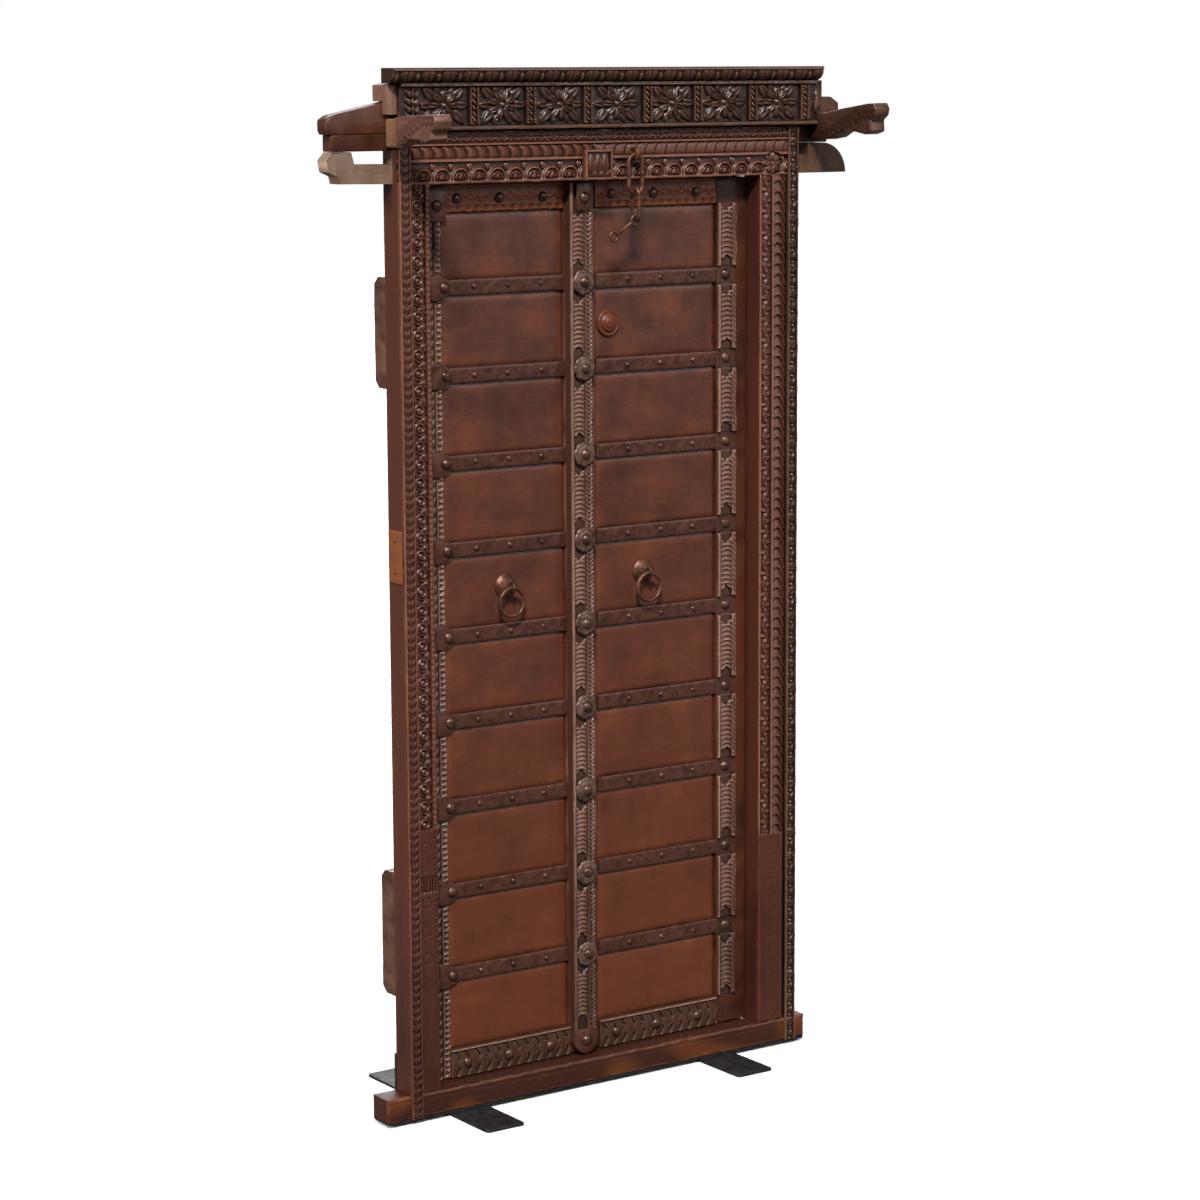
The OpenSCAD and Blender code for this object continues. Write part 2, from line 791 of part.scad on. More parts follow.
// Discs on the meeting stile, one at each strap, with a cap plate above and a foot below
module meeting_bosses() {
    color(iron) {
        for (i = [0:strap_n - 1])
            translate([boss_x, meeting_y, strap_z(i)]) {
                rotate([90, 0, 0]) cylinder(d = boss_d, h = boss_t - 4);
                translate([0, 4 - boss_t, 0]) dome_head(boss_d - 4, 4);
            }
        block([meeting_x0 + 14, meeting_y - plate_t, leaf_z1 - 60],
              [meeting_x0 + meeting_w - 2, meeting_y, leaf_z1 - 2]);
        foot_plate();
    }
}

// The foot below the meeting stile: square above, round below
module foot_plate() {
    r = foot_plate_r;
    translate([foot_plate_x, leaf_recess, leaf_z0 + r]) rotate([90, 0, 0])
        linear_extrude(meeting_t)
            intersection() {
                union() {
                    circle(r);
                    translate([-r, 0]) square([2 * r, r]);
                }
                translate([-r, -r]) square([2 * r, foot_plate_h]);
            }
}

module boss_rivets() {
    color(iron) {
        for (i = [0:strap_n - 1])
            translate([boss_x, meeting_y - boss_t, strap_z(i)]) dome_head(18, 7);
        translate([boss_x, meeting_y - plate_t, leaf_z1 - 34]) dome_head(16, 6);
        translate([foot_plate_x, meeting_y, leaf_z0 + foot_plate_r]) dome_head(18, 6);
    }
}

module left_back_ledges() { back_ledges(left_panel_x0, left_panel_x1); }
module left_pull_dome() { pull_dome(-left_pull_x); }
module left_pull_eye() { pull_eye(-left_pull_x); }
module left_ring() { ring(-left_pull_x); }

// ---------- right leaf ----------

module right_hinge_stile() { hinge_stile(leaf_r, right_pivot_x, right_stile_w, -1); }

// Carved blocks down the right stile, with a notch at every strap
module right_carved_strip() {
    notch = strap_h + 10;
    module run(z0, z1) {
        block([right_panel_x1 + 1, leaf_recess - carved_stile_t, z0],
              [right_panel_x1 + 1 + carved_stile_w, leaf_recess, z1]);
    }
    color(grey_wood) {
        for (i = [0:strap_n - 2])
            run(strap_z(i) + notch / 2, strap_z(i + 1) - notch / 2);
        run(panel_z0 + 4, strap_z(0) - notch / 2);
        run(strap_z(strap_n - 1) + notch / 2, leaf_z1 - top_rail_h);
    }
}

module right_top_rail() { top_rail(right_edge, right_panel_x1); }
module right_bottom_rail() { bottom_rail(right_edge, right_panel_x1); }
module right_panel_board() { panel_board(right_edge, right_panel_x1); }
module right_straps() { straps(right_edge + 1, right_panel_x1); }

// Rivets along the straps, and one on the stile at the end of each strap
module right_strap_rivets() {
    strap_rivets(right_edge, right_panel_x1);
    color(iron)
        for (i = [0:strap_n - 1])
            translate([right_panel_x1 + 24, leaf_recess, strap_z(i)]) dome_head(16, 7);
}

// A turned button on the second panel from the top
module right_round_boss() {
    d = 58;
    x = right_edge + d / 2 + 4;
    z = strap_z(strap_n - 1) - strap_pitch / 2;
    color(warm_wood) translate([x, panel_y, z]) {
        rotate([90, 0, 0]) cylinder(d = d, h = 5);
        translate([0, -5, 0]) dome_head(d - 12, 9);
    }
}

module right_back_ledges() { back_ledges(right_edge + 30, right_panel_x1); }
module right_pull_dome() { pull_dome(right_pull_x); }
module right_pull_eye() { pull_eye(right_pull_x); }
module right_ring() { ring(right_pull_x); }

// ---------- door chain ----------

// The long upper link, hanging on the staple's lower prong
module chain_upper_link() {
    color(rust_iron) translate([chain_x, chain_y, 0])
        long_link(link_r, link_wire, link_bottom, link_top);
}

// The lower link hangs on the upper one, a quarter turn round from it
module chain_lower_link() {
    color(rust_iron) translate([chain_x, chain_y, 0]) rotate([0, 0, 90])
        long_link(lower_r, lower_wire, lower_bottom, lower_top);
}

// The hasp: one eye round the lower link's bend, a bar, and an eye to drop over a staple
module chain_hasp() {
    color(rust_iron)
        translate([chain_x, chain_y, lower_bottom]) rotate([0, hasp_lean, 0]) {
            translate([0, 0, -hasp_eye_at]) wire_ring(hasp_eye_r, hasp_wire);
            translate([0, 0, -hasp_eye_at - hasp_l + hasp_eye_r])
                cylinder(d = hasp_wire + 1, h = hasp_l - 2 * hasp_eye_r);
            translate([0, 0, -hasp_eye_at - hasp_l]) wire_ring(hasp_eye_r, hasp_wire);
        }
}

place() left_jamb();
place() right_jamb();
place() left_outer_strip();
place() right_outer_strip();
place() sill();
place() sill_rear_rail();
place() lintel();
place() lintel_rear_rail();
place() head_beam();
place() cornice_rail();
place() back_board();
place() frieze_board();
place() cornice_crown();
place() left_bracket();
place() right_bracket();
place() left_upper_cleat();
place() left_lower_cleat();
place() right_upper_cleat();
place() right_lower_cleat();
place() side_patch();
place() patch_nails();
place() chain_staple();
place() stand_base_bar();
place() stand_left_foot();
place() stand_right_foot();
place() stand_uprights();
place() stand_screws();
place() left_hinge_stile();
place() left_inner_stile();
place() left_top_rail();
place() left_bottom_rail();
place() left_panel_board();
place() left_straps();
place() left_strap_rivets();
place() left_stile_plates();
place() left_plate_rivets();
place() meeting_stile();
place() meeting_bosses();
place() boss_rivets();
place() left_back_ledges();
place() left_pull_dome();
place() left_pull_eye();
place() left_ring();
place() right_hinge_stile();
place() right_carved_strip();
place() right_top_rail();
place() right_bottom_rail();
place() right_panel_board();
place() right_straps();
place() right_strap_rivets();
place() right_round_boss();
place() right_back_ledges();
place() right_pull_dome();
place() right_pull_eye();
place() right_ring();
place() chain_upper_link();
place() chain_lower_link();
place() chain_hasp();
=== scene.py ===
"""Looks of a carved double-leaf temple door: relief carving, ironwork, finishes and studio."""
import logging
import math
from dataclasses import dataclass
from enum import Enum
from typing import Callable, Iterable, Sequence

import bmesh
import bpy
import numpy as np
from mathutils import Matrix, Vector


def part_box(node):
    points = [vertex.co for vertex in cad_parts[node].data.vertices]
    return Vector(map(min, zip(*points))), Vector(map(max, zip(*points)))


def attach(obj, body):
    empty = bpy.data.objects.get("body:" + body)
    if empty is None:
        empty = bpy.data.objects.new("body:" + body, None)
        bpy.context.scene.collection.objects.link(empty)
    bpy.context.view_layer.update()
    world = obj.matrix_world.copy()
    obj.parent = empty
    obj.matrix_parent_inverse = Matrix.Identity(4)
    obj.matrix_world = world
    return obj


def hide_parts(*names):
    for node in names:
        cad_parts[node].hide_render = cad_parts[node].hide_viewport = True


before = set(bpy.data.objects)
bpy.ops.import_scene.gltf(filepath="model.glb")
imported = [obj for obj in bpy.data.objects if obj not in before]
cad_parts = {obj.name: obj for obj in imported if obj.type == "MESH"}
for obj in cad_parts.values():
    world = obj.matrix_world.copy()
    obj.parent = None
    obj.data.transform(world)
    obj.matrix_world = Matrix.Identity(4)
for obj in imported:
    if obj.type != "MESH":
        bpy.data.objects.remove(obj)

LOG = logging.getLogger("temple_door")
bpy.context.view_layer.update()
MM = 0.001
# In millimetres: the wood that a carved board keeps behind its deepest cut, and the thickness from which
# its plain sides get rings of points.
LEAST_WOOD = 0.5
THIN_BOARD = 15
Field = np.ndarray
Rule = Callable[[Field, Field], Field]


# ---------------------------------------------------------------- colour and nodes


def linear(hex_colour: str, alpha: float = 1.0) -> tuple[float, float, float, float]:
    """Turn an sRGB hex colour into Blender's linear values.

    Args:
        hex_colour: Colour such as "3B241B".
        alpha: Fourth value of the result.

    Returns:
        Red, green, blue and alpha.
    """
    parts = [int(hex_colour[i:i + 2], 16) / 255 for i in (0, 2, 4)]
    red, green, blue = (p / 12.92 if p <= 0.04045 else ((p + 0.055) / 1.055) ** 2.4 for p in parts)
    return red, green, blue, alpha


def add(tree: bpy.types.NodeTree, kind: str, settings: dict | None = None,
        links: dict | None = None) -> bpy.types.Node:
    """Add one node with its settings and links.

    Args:
        tree: Node tree that gets the node.
        kind: Blender's node type.
        settings: Node properties by name, or socket values by socket name or index.
        links: Output sockets to join, by the input's name or index.

    Returns:
        The new node.
    """
    node = tree.nodes.new(kind)
    for name, value in (settings or {}).items():
        if isinstance(name, str) and hasattr(node, name):
            setattr(node, name, value)
        else:
            node.inputs[name].default_value = value
    for name, socket in (links or {}).items():
        tree.links.new(socket, node.inputs[name])
    return node


def ramp(tree: bpy.types.NodeTree, factor: bpy.types.NodeSocket,
         stops: Sequence[tuple[float, str]]) -> bpy.types.NodeSocket:
    """Colour a factor with a ramp of hex colours.

    Args:
        tree: Material tree.
        factor: Socket with the factor.
        stops: Place and colour of each stop.

    Returns:
        The ramp's colour socket.
    """
    node = add(tree, "ShaderNodeValToRGB", links={"Fac": factor})
    elements = node.color_ramp.elements
    while len(elements) < len(stops):
        elements.new(0.5)
    for element, (place, colour) in zip(elements, stops):
        element.position = place
        element.color = linear(colour)
    return node.outputs["Color"]


class Grain(Enum):
    """Direction of a board's grain."""

    ALONG_X = (0.09, 1.0, 1.0)
    ALONG_Y = (1.0, 0.09, 1.0)
    ALONG_Z = (1.0, 1.0, 0.09)


@dataclass(frozen=True)
class WoodFinish:
    """Old hardwood, oiled and handled for a century; carved pieces are painted darker in their hollows
    (painted shade) and lighter on high points and edges (wear and painted highlight).
    """

    name: str
    deep: str
    body: str
    light: str
    accent: str
    rough: float = 0.46
    grain_mm: float = 2.6
    blotch_mm: float = 150.0
    coat: float = 0.08
    bump: float = 0.5
    contrast: float = 1.0
    polish: float = 0.16
    foot_dark: float = 0.0
    grain_share: float = 1.0

    def material(self, grain: Grain, carved: bool = True) -> bpy.types.Material:
        """Build the material once for each grain direction.

        Args:
            grain: Direction of the grain.
            carved: Whether the piece carries the attribute of wear and painted shade, and the attribute
                "tone".

        Returns:
            The material.
        """
        name = f"{self.name}_{grain.name.lower()}{'' if carved else '_plain'}"
        if name in bpy.data.materials:
            return bpy.data.materials[name]
        mat = bpy.data.materials.new(name)
        mat.use_nodes = True
        tree = mat.node_tree
        tree.nodes.clear()
        coords = add(tree, "ShaderNodeTexCoord").outputs["Object"]
        along = add(tree, "ShaderNodeMapping", {"Scale": grain.value}, {"Vector": coords})
        fibre = self._noise(tree, along.outputs[0], self.grain_mm, 6.0, 0.65)
        streak = self._noise(tree, along.outputs[0], self.grain_mm * 7, 3.0, 0.5)
        blotch = self._noise(tree, coords, self.blotch_mm, 4.0, 0.6)
        speck = self._noise(tree, coords, 5.0, 5.0, 0.7)
        parts = [(fibre, 0.34 * self.grain_share), (streak, 0.26 * self.grain_share), (blotch, 0.42),
                 (speck, 0.22)]
        mixed: bpy.types.NodeSocket | None = None
        for socket, weight in parts:
            centred = add(tree, "ShaderNodeMath", {"operation": "MULTIPLY_ADD", 1: weight * self.contrast,
                                                   2: -0.5 * weight * self.contrast}, {0: socket}).outputs[0]
            mixed = centred if mixed is None else add(
                tree, "ShaderNodeMath", {"operation": "ADD"}, {0: mixed, 1: centred}).outputs[0]
        if carved:
            # The wear attribute darkens hollows and lightens high points and edges: painted shade and painted
            # highlight, together with wear.
            worn = add(tree, "ShaderNodeAttribute", {"attribute_name": "worn"}).outputs["Fac"]
            tone = add(tree, "ShaderNodeAttribute", {"attribute_name": "tone"}).outputs["Fac"]
            # Colour made darker towards the bottom: unchanged from 0.66 m up, darker by foot_dark at 0.3 m
            # and below.
            up = add(tree, "ShaderNodeSeparateXYZ", links={"Vector": coords}).outputs["Z"]
            lower_darkening = add(tree, "ShaderNodeMapRange",
                       {"From Min": 0.66, "From Max": 0.3, "To Max": -self.foot_dark},
                       {"Value": up}).outputs[0]
            mixed = add(tree, "ShaderNodeMath", {"operation": "ADD"}, {0: mixed, 1: lower_darkening}).outputs[0]
            level = add(tree, "ShaderNodeMath", {"operation": "ADD", "use_clamp": True},
                        {0: mixed, 1: worn}).outputs[0]
        else:
            level = add(tree, "ShaderNodeMath", {"operation": "ADD", 1: 0.52, "use_clamp": True},
                        {0: mixed}).outputs[0]
        colour = ramp(tree, level,
                      [(0.0, self.deep), (0.45, self.body), (0.62, self.body), (1.0, self.light)])
        if carved:
            other = ramp(tree, level, [(0.0, self.deep), (0.5, self.accent), (1.0, self.light)])
            colour = add(tree, "ShaderNodeMix", {"data_type": "RGBA"},
                         {0: tone, 6: colour, 7: other}).outputs[2]
        rough = add(tree, "ShaderNodeMapRange",
                    {"From Min": 0.25, "From Max": 0.75, "To Min": self.rough + 0.12,
                     "To Max": self.rough - 0.10}, {"Value": speck}).outputs[0]
        if carved:
            rough = add(tree, "ShaderNodeMath", {"operation": "MULTIPLY_ADD", 1: -self.polish},
                        {0: worn, 2: rough}).outputs[0]
            rough = add(tree, "ShaderNodeMath", {"operation": "ADD", 1: 0.5 * self.polish},
                        {0: rough}).outputs[0]
        height = add(tree, "ShaderNodeMath", {"operation": "MULTIPLY_ADD", 1: 0.6},
                     {0: fibre, 2: speck}).outputs[0]
        bump = add(tree, "ShaderNodeBump", {"Strength": self.bump, "Distance": 0.0012}, {"Height": height})
        shader = add(tree, "ShaderNodeBsdfPrincipled",
                     {"Coat Weight": self.coat, "Coat Roughness": 0.3, "IOR": 1.42},
                     {"Base Color": colour, "Roughness": rough, "Normal": bump.outputs[0]})
        add(tree, "ShaderNodeOutputMaterial", links={"Surface": shader.outputs[0]})
        return mat

    @staticmethod
    def _noise(tree: bpy.types.NodeTree, vector: bpy.types.NodeSocket, size_mm: float,
               detail: float, rough: float) -> bpy.types.NodeSocket:
        """Noise whose grains are about size_mm across."""
        return add(tree, "ShaderNodeTexNoise", {"Scale": 1 / (size_mm * MM), "Detail": detail,
                                                "Roughness": rough}, {"Vector": vector}).outputs[0]


@dataclass(frozen=True)
class IronFinish:
    """Forged iron, brown with old rust and wax, in random patches of dark iron, brown and rust."""

    name: str
    dark: str
    body: str
    rust: str
    metallic: float = 0.55
    rough: float = 0.48
    pit_mm: float = 2.2
    bump: float = 0.6

    def material(self) -> bpy.types.Material:
        """Build the material once."""
        if self.name in bpy.data.materials:
            return bpy.data.materials[self.name]
        mat = bpy.data.materials.new(self.name)
        mat.use_nodes = True
        tree = mat.node_tree
        tree.nodes.clear()
        coords = add(tree, "ShaderNodeTexCoord").outputs["Object"]
        noise = WoodFinish._noise
        pits = noise(tree, coords, self.pit_mm, 6.0, 0.7)
        patch = noise(tree, coords, 16.0, 5.0, 0.65)
        cloud = noise(tree, coords, 70.0, 3.0, 0.5)
        level = add(tree, "ShaderNodeMath", {"operation": "MULTIPLY_ADD", 1: 0.45},
                    {0: pits, 2: patch}).outputs[0]
        level = add(tree, "ShaderNodeMath", {"operation": "MULTIPLY_ADD", 1: 0.35},
                    {0: cloud, 2: level}).outputs[0]
        colour = ramp(tree, level, [(0.55, self.dark), (0.82, self.body), (1.0, self.rust)])
        rough = add(tree, "ShaderNodeMapRange",
                    {"From Min": 0.3, "From Max": 0.7, "To Min": self.rough - 0.13,
                     "To Max": self.rough + 0.16}, {"Value": patch}).outputs[0]
        bump = add(tree, "ShaderNodeBump", {"Strength": self.bump, "Distance": 0.0008}, {"Height": level})
        shader = add(tree, "ShaderNodeBsdfPrincipled", {"Metallic": self.metallic},
                     {"Base Color": colour, "Roughness": rough, "Normal": bump.outputs[0]})
        add(tree, "ShaderNodeOutputMaterial", links={"Surface": shader.outputs[0]})
        return mat


# Near-black aged hardwood with a wax sheen: frieze, crown and outer strips.
BLACK_WOOD = WoodFinish("black_brown_hardwood", "080403", "301A12", "664838", "4C2D1E", rough=0.32, coat=0.12)
# Dark stained hardwood, carved and waxed: jambs, lintel and rails.
JAMB_WOOD = WoodFinish("dark_stained_hardwood", "0C0503", "4A261A", "835744", "67402F", rough=0.34, coat=0.1,
                       foot_dark=0.2)
# Red-brown oiled boards with a satin face, purple-brown near the top: the panels.
PANEL_WOOD = WoodFinish("red_brown_oiled_boards", "1C0C07", "5E2F1A", "7E4527", "4E2C22", rough=0.37,
                        contrast=2.0, grain_mm=2.8, blotch_mm=90.0, bump=0.35,
                        grain_share=0.3)
# Warm hardwood without stain in its scuffs: sill, head beam, repairs.
WARM_WOOD = WoodFinish("warm_worn_hardwood", "120704", "371A0E", "5F3823", "8A4A22", rough=0.42)
# Plain reddish stile, rubbed orange-red where hands push it.
RED_WOOD = WoodFinish("reddish_plain_hardwood", "100503", "2B120A", "56301F", "6E2C10", rough=0.4)
# Dry weathered wood, grey-brown: meeting stile and carved strip.
GREY_WOOD = WoodFinish("weathered_hardwood", "0E0604", "4A2F24", "957465", "64402F", rough=0.36, coat=0.06,
                       foot_dark=0.16)
# Weathered wood with a fresh yellow split: bracket heads, horns and the back board.
RAW_WOOD = WoodFinish("weathered_split_hardwood", "0E0604", "54352A", "826050", "A87B3C", rough=0.46,
                      coat=0.0)
# Top rails, rubbed to a warm orange-brown.
RAIL_WOOD = WoodFinish("warm_rubbed_rails", "160804", "743A1E", "9C5E38", "6A3218", rough=0.34)
# Lobed discs rubbed grey.
DISC_IRON = IronFinish("grey_rubbed_iron", "211511", "50392F", "6E5348", metallic=0.35, rough=0.36)
# Plain timber ends: the left horn is bleached nearly white.
PALE_WOOD = WoodFinish("bleached_timber_ends", "0E0604", "36200F", "664632", "A08A78", rough=0.48, coat=0.0)
STRAP_IRON = IronFinish("waxed_wrought_iron", "2C1812", "482A21", "543226", metallic=0.25, rough=0.36)
RIVET_IRON = IronFinish("rubbed_iron_rivets", "1C110E", "4A332B", "6A4A3C", metallic=0.6, rough=0.32)
RUST_IRON = IronFinish("rust_brown_iron", "1A0E0A", "4A2E22", "6B402B", metallic=0.45, rough=0.42)
BLACK_STEEL = IronFinish("matt_black_painted_steel", "0B0B0C", "131314", "1C1C1E", metallic=0.0, rough=0.5,
                         pit_mm=1.2, bump=0.15)


# ---------------------------------------------------------------- carving rules, all in millimetres


def wander(u: Field, v: Field, size: float, seed: int) -> Field:
    """Smooth random field between about -1 and 1.

    Args:
        u: First coordinate.
        v: Second coordinate.
        size: Rough size of its hills.
        seed: Fixed seed.

    Returns:
        The field's values.
    """
    rng = np.random.default_rng(seed)
    total = np.zeros(np.broadcast(u, v).shape)
    for _ in range(7):
        turn, phase = rng.uniform(0, 2 * math.pi, 2)
        wave = 2 * math.pi / (size * rng.uniform(0.7, 1.7))
        total += np.sin(wave * (u * math.cos(turn) + v * math.sin(turn)) + phase)
    return total / 4.2


def repeat(t: Field, pitch: float) -> Field:
    """Fold a coordinate into its repeat, from -pitch/2 to pitch/2."""
    return t - pitch * np.floor(t / pitch + 0.5)


def bump_at(x: Field, y: Field, a: float, b: float, turn: float = 0.0) -> Field:
    """Height of a domed ellipse: 1 in the middle, 0 at the rim."""
    c, s = math.cos(turn), math.sin(turn)
    p, q = (x * c + y * s) / a, (-x * s + y * c) / b
    return np.sqrt(np.clip(1 - p * p - q * q, 0, 1))


def leaf(x: Field, y: Field, length: float, width: float, degrees: float, vein: float = 0.45) -> Field:
    """Height of a pointed leaf lobe with a vein cut along it.

    Args:
        x: Distance from the leaf's middle.
        y: Distance from the leaf's middle.
        length: Half length.
        width: Half width.
        degrees: Direction of its tip.
        vein: Depth of the vein.

    Returns:
        Height from 0 to 1.
    """
    c, s = math.cos(math.radians(degrees)), math.sin(math.radians(degrees))
    p = (x * c + y * s) / length
    q = (-x * s + y * c) / (width * (1.0 - 0.5 * np.clip(p, -1, 1)))
    dome = np.sqrt(np.clip(1 - p * p - q * q, 0, 1))
    return dome * (1 - vein * np.exp(-(q / 0.25) ** 2))


def whorl(x: Field, y: Field, radius: float, turns: float, hand: int) -> Field:
    """Height of a coiled whorl with a bead at its eye."""
    r, angle = np.hypot(x, y), np.arctan2(y, x)
    coil = 0.5 + 0.5 * np.cos(2 * math.pi * turns * r / radius - hand * angle)
    body = np.clip((radius - r) / (0.2 * radius), 0, 1)
    return np.maximum(body * (0.25 + 0.75 * coil ** 0.8) * (1 - 0.25 * r / radius), bump_at(x, y, 3.2, 3.2))


def rosette(x: Field, y: Field, radius: float, petals: int, start: float = 0.0) -> Field:
    """Height of a flower with a ring of veined petals and a domed eye."""
    r, angle = np.hypot(x, y), np.arctan2(y, x) + start
    swing = np.abs(np.cos(petals * angle / 2))
    reach = radius * (0.62 + 0.38 * swing)
    body = np.clip(1 - ((r - 0.58 * reach) / (0.44 * reach)) ** 2, 0, 1) ** 0.5
    petal = body * (0.35 + 0.65 * swing ** 0.6) * (1 - 0.4 * np.exp(-((1 - swing) / 0.05) ** 2))
    return np.maximum(petal, bump_at(x, y, 0.2 * radius, 0.2 * radius))


def rope(u: Field, v: Field, pitch: float, slope: float, width: float) -> Field:
    """Height of a roll cut with slanting grooves."""
    lobe = np.abs(np.sin(math.pi * (v + slope * u) / pitch)) ** 0.55
    return lobe * np.sqrt(np.clip(1 - (2 * u / width) ** 2, 0, 1)) ** 0.8


def gadroon(u: Field, v: Field, pitch: float, slope: float, width: float) -> Field:
    """Height of a roll of slanting crescents, steep on one side and soft on the other."""
    phase = (v + slope * u + 4.0 * math.copysign(1, slope) * (2 * u / width) ** 2) / pitch
    part = phase - np.floor(phase)
    side = part if slope > 0 else 1 - part
    lobe = np.clip(side / 0.2, 0, 1) ** 0.7 * np.clip((1 - side) / 0.62, 0, 1) ** 0.6
    return lobe * np.clip(1 - (2 * u / width) ** 4, 0, 1) ** 0.7


def scales(u: Field, v: Field, pitch: float, sag: float, width: float) -> Field:
    """Height of overlapping curved leaves, each tucked under the next."""
    phase = (v + sag * (2 * u / width) ** 2) / pitch
    part = phase - np.floor(phase)
    return (1 - part) ** 0.7 * np.clip(part / 0.14, 0, 1) * (0.75 + 0.25 * np.cos(math.pi * u / width))


def foliage(u: Field, v: Field, pitch: float, width: float) -> Field:
    """Height of a running leaf scroll: a wavy stem with lobed leaves in its bends."""
    half = 0.5 * width
    stem_u = 0.42 * half * np.sin(2 * math.pi * v / pitch)
    stem = np.exp(-((u - stem_u) / 2.1) ** 2) * 0.8
    high = stem
    for side, shift in ((1, 0.25), (-1, 0.75)):
        w = repeat(v - shift * pitch - 0.5 * pitch, pitch)
        for dx, dy, length, thick, turn in ((0.30, 0.0, 0.42, 0.22, 90 - 90 * side),
                                            (0.05, 0.24, 0.34, 0.18, 90 - 45 * side),
                                            (0.05, -0.24, 0.34, 0.18, -90 + 45 * side)):
            high = np.maximum(high, leaf(u - side * dx * half, w - dy * pitch, length * half * 1.5,
                                         thick * half * 1.6, turn))
    return high


def zigzag(u: Field, v: Field, pitch: float, width: float) -> Field:
    """Height of a row of triangular teeth."""
    tooth = np.abs(repeat(v, pitch)) * 2 / pitch
    return np.where(u / width + 0.5 > tooth, 1.0, 0.15)


def herringbone(u: Field, v: Field, pitch: float, width: float) -> Field:
    """Height of a braid of slanting cuts that meet in the middle."""
    phase = (v - 1.1 * np.abs(u)) / pitch
    return np.abs(np.sin(math.pi * phase)) ** 0.6 * np.clip(np.abs(u) / 0.8, 0.2, 1) \
        * np.clip((0.5 * width - np.abs(u)) / 0.8, 0, 1)


@dataclass(frozen=True)
class Band:
    """One carved band of a board: from lo to hi across it, with its own ground and rule."""

    lo: float
    hi: float
    relief: float
    rule: Rule | None = None
    tone: float = 0.0
    top: float = 0.0


def carve(bands: Sequence[Band], across: Field, along: Field, seed: int = 1,
          waver: float = 0.5) -> tuple[Field, Field]:
    """Work out the depth and tone of a banded board.

    Args:
        bands: Bands across the board.
        across: Millimetres across the board.
        along: Millimetres along the board.
        seed: Seed of the hand-cut irregularity.
        waver: How far the hand wandered, in millimetres.

    Returns:
        Depth below the face in millimetres, and tone from 0 to 1.
    """
    a = across + waver * wander(across, along, 60, seed)
    b = along + 2.2 * waver * wander(across, along, 90, seed + 1)
    depth, tone = np.zeros_like(a), np.zeros_like(a)
    for band in bands:
        inside = (across >= band.lo) & (across <= band.hi)
        if not inside.any():
            continue
        high = 1.0 if band.rule is None else band.rule(a - 0.5 * (band.lo + band.hi), b)
        depth = np.where(inside, band.top + band.relief * (1 - high), depth)
        tone = np.where(inside, band.tone, tone)
    return depth, tone


def box_blur(field: Field, reach: int) -> Field:
    """Average a field over squares of 2 * reach + 1 cells."""
    for axis in (0, 1):
        padded = np.pad(field, [(reach + 1, reach) if k == axis else (0, 0) for k in (0, 1)], mode="edge")
        total = np.cumsum(padded, axis=axis)
        width = 2 * reach + 1
        upper = np.take(total, range(width, total.shape[axis]), axis=axis)
        lower = np.take(total, range(0, total.shape[axis] - width), axis=axis)
        field = (upper - lower) / width
    return field


# ---------------------------------------------------------------- mesh makers


def mesh_object(name: str, verts: Field, faces: Sequence, attributes: dict[str, Field] | None = None,
                smooth: bool = True) -> bpy.types.Object:
    """Make an object at the origin from points and faces.

    Args:
        name: Name of the piece.
        verts: Points in metres.
        faces: Corner indices of each face.
        attributes: Point values by name.
        smooth: Whether its faces are shaded smooth.

    Returns:
        The object, linked to the scene.
    """
    mesh = bpy.data.meshes.new(name)
    mesh.from_pydata(np.asarray(verts).tolist(), [], [list(map(int, f)) for f in faces])
    for key, values in (attributes or {}).items():
        layer = mesh.attributes.new(key, "FLOAT", "POINT")
        layer.data.foreach_set("value", np.asarray(values, dtype=np.float32))
    mesh.polygons.foreach_set("use_smooth", [smooth] * len(mesh.polygons))
    mesh.validate()
    piece = bpy.data.objects.new(name, mesh)
    bpy.context.collection.objects.link(piece)
    return piece


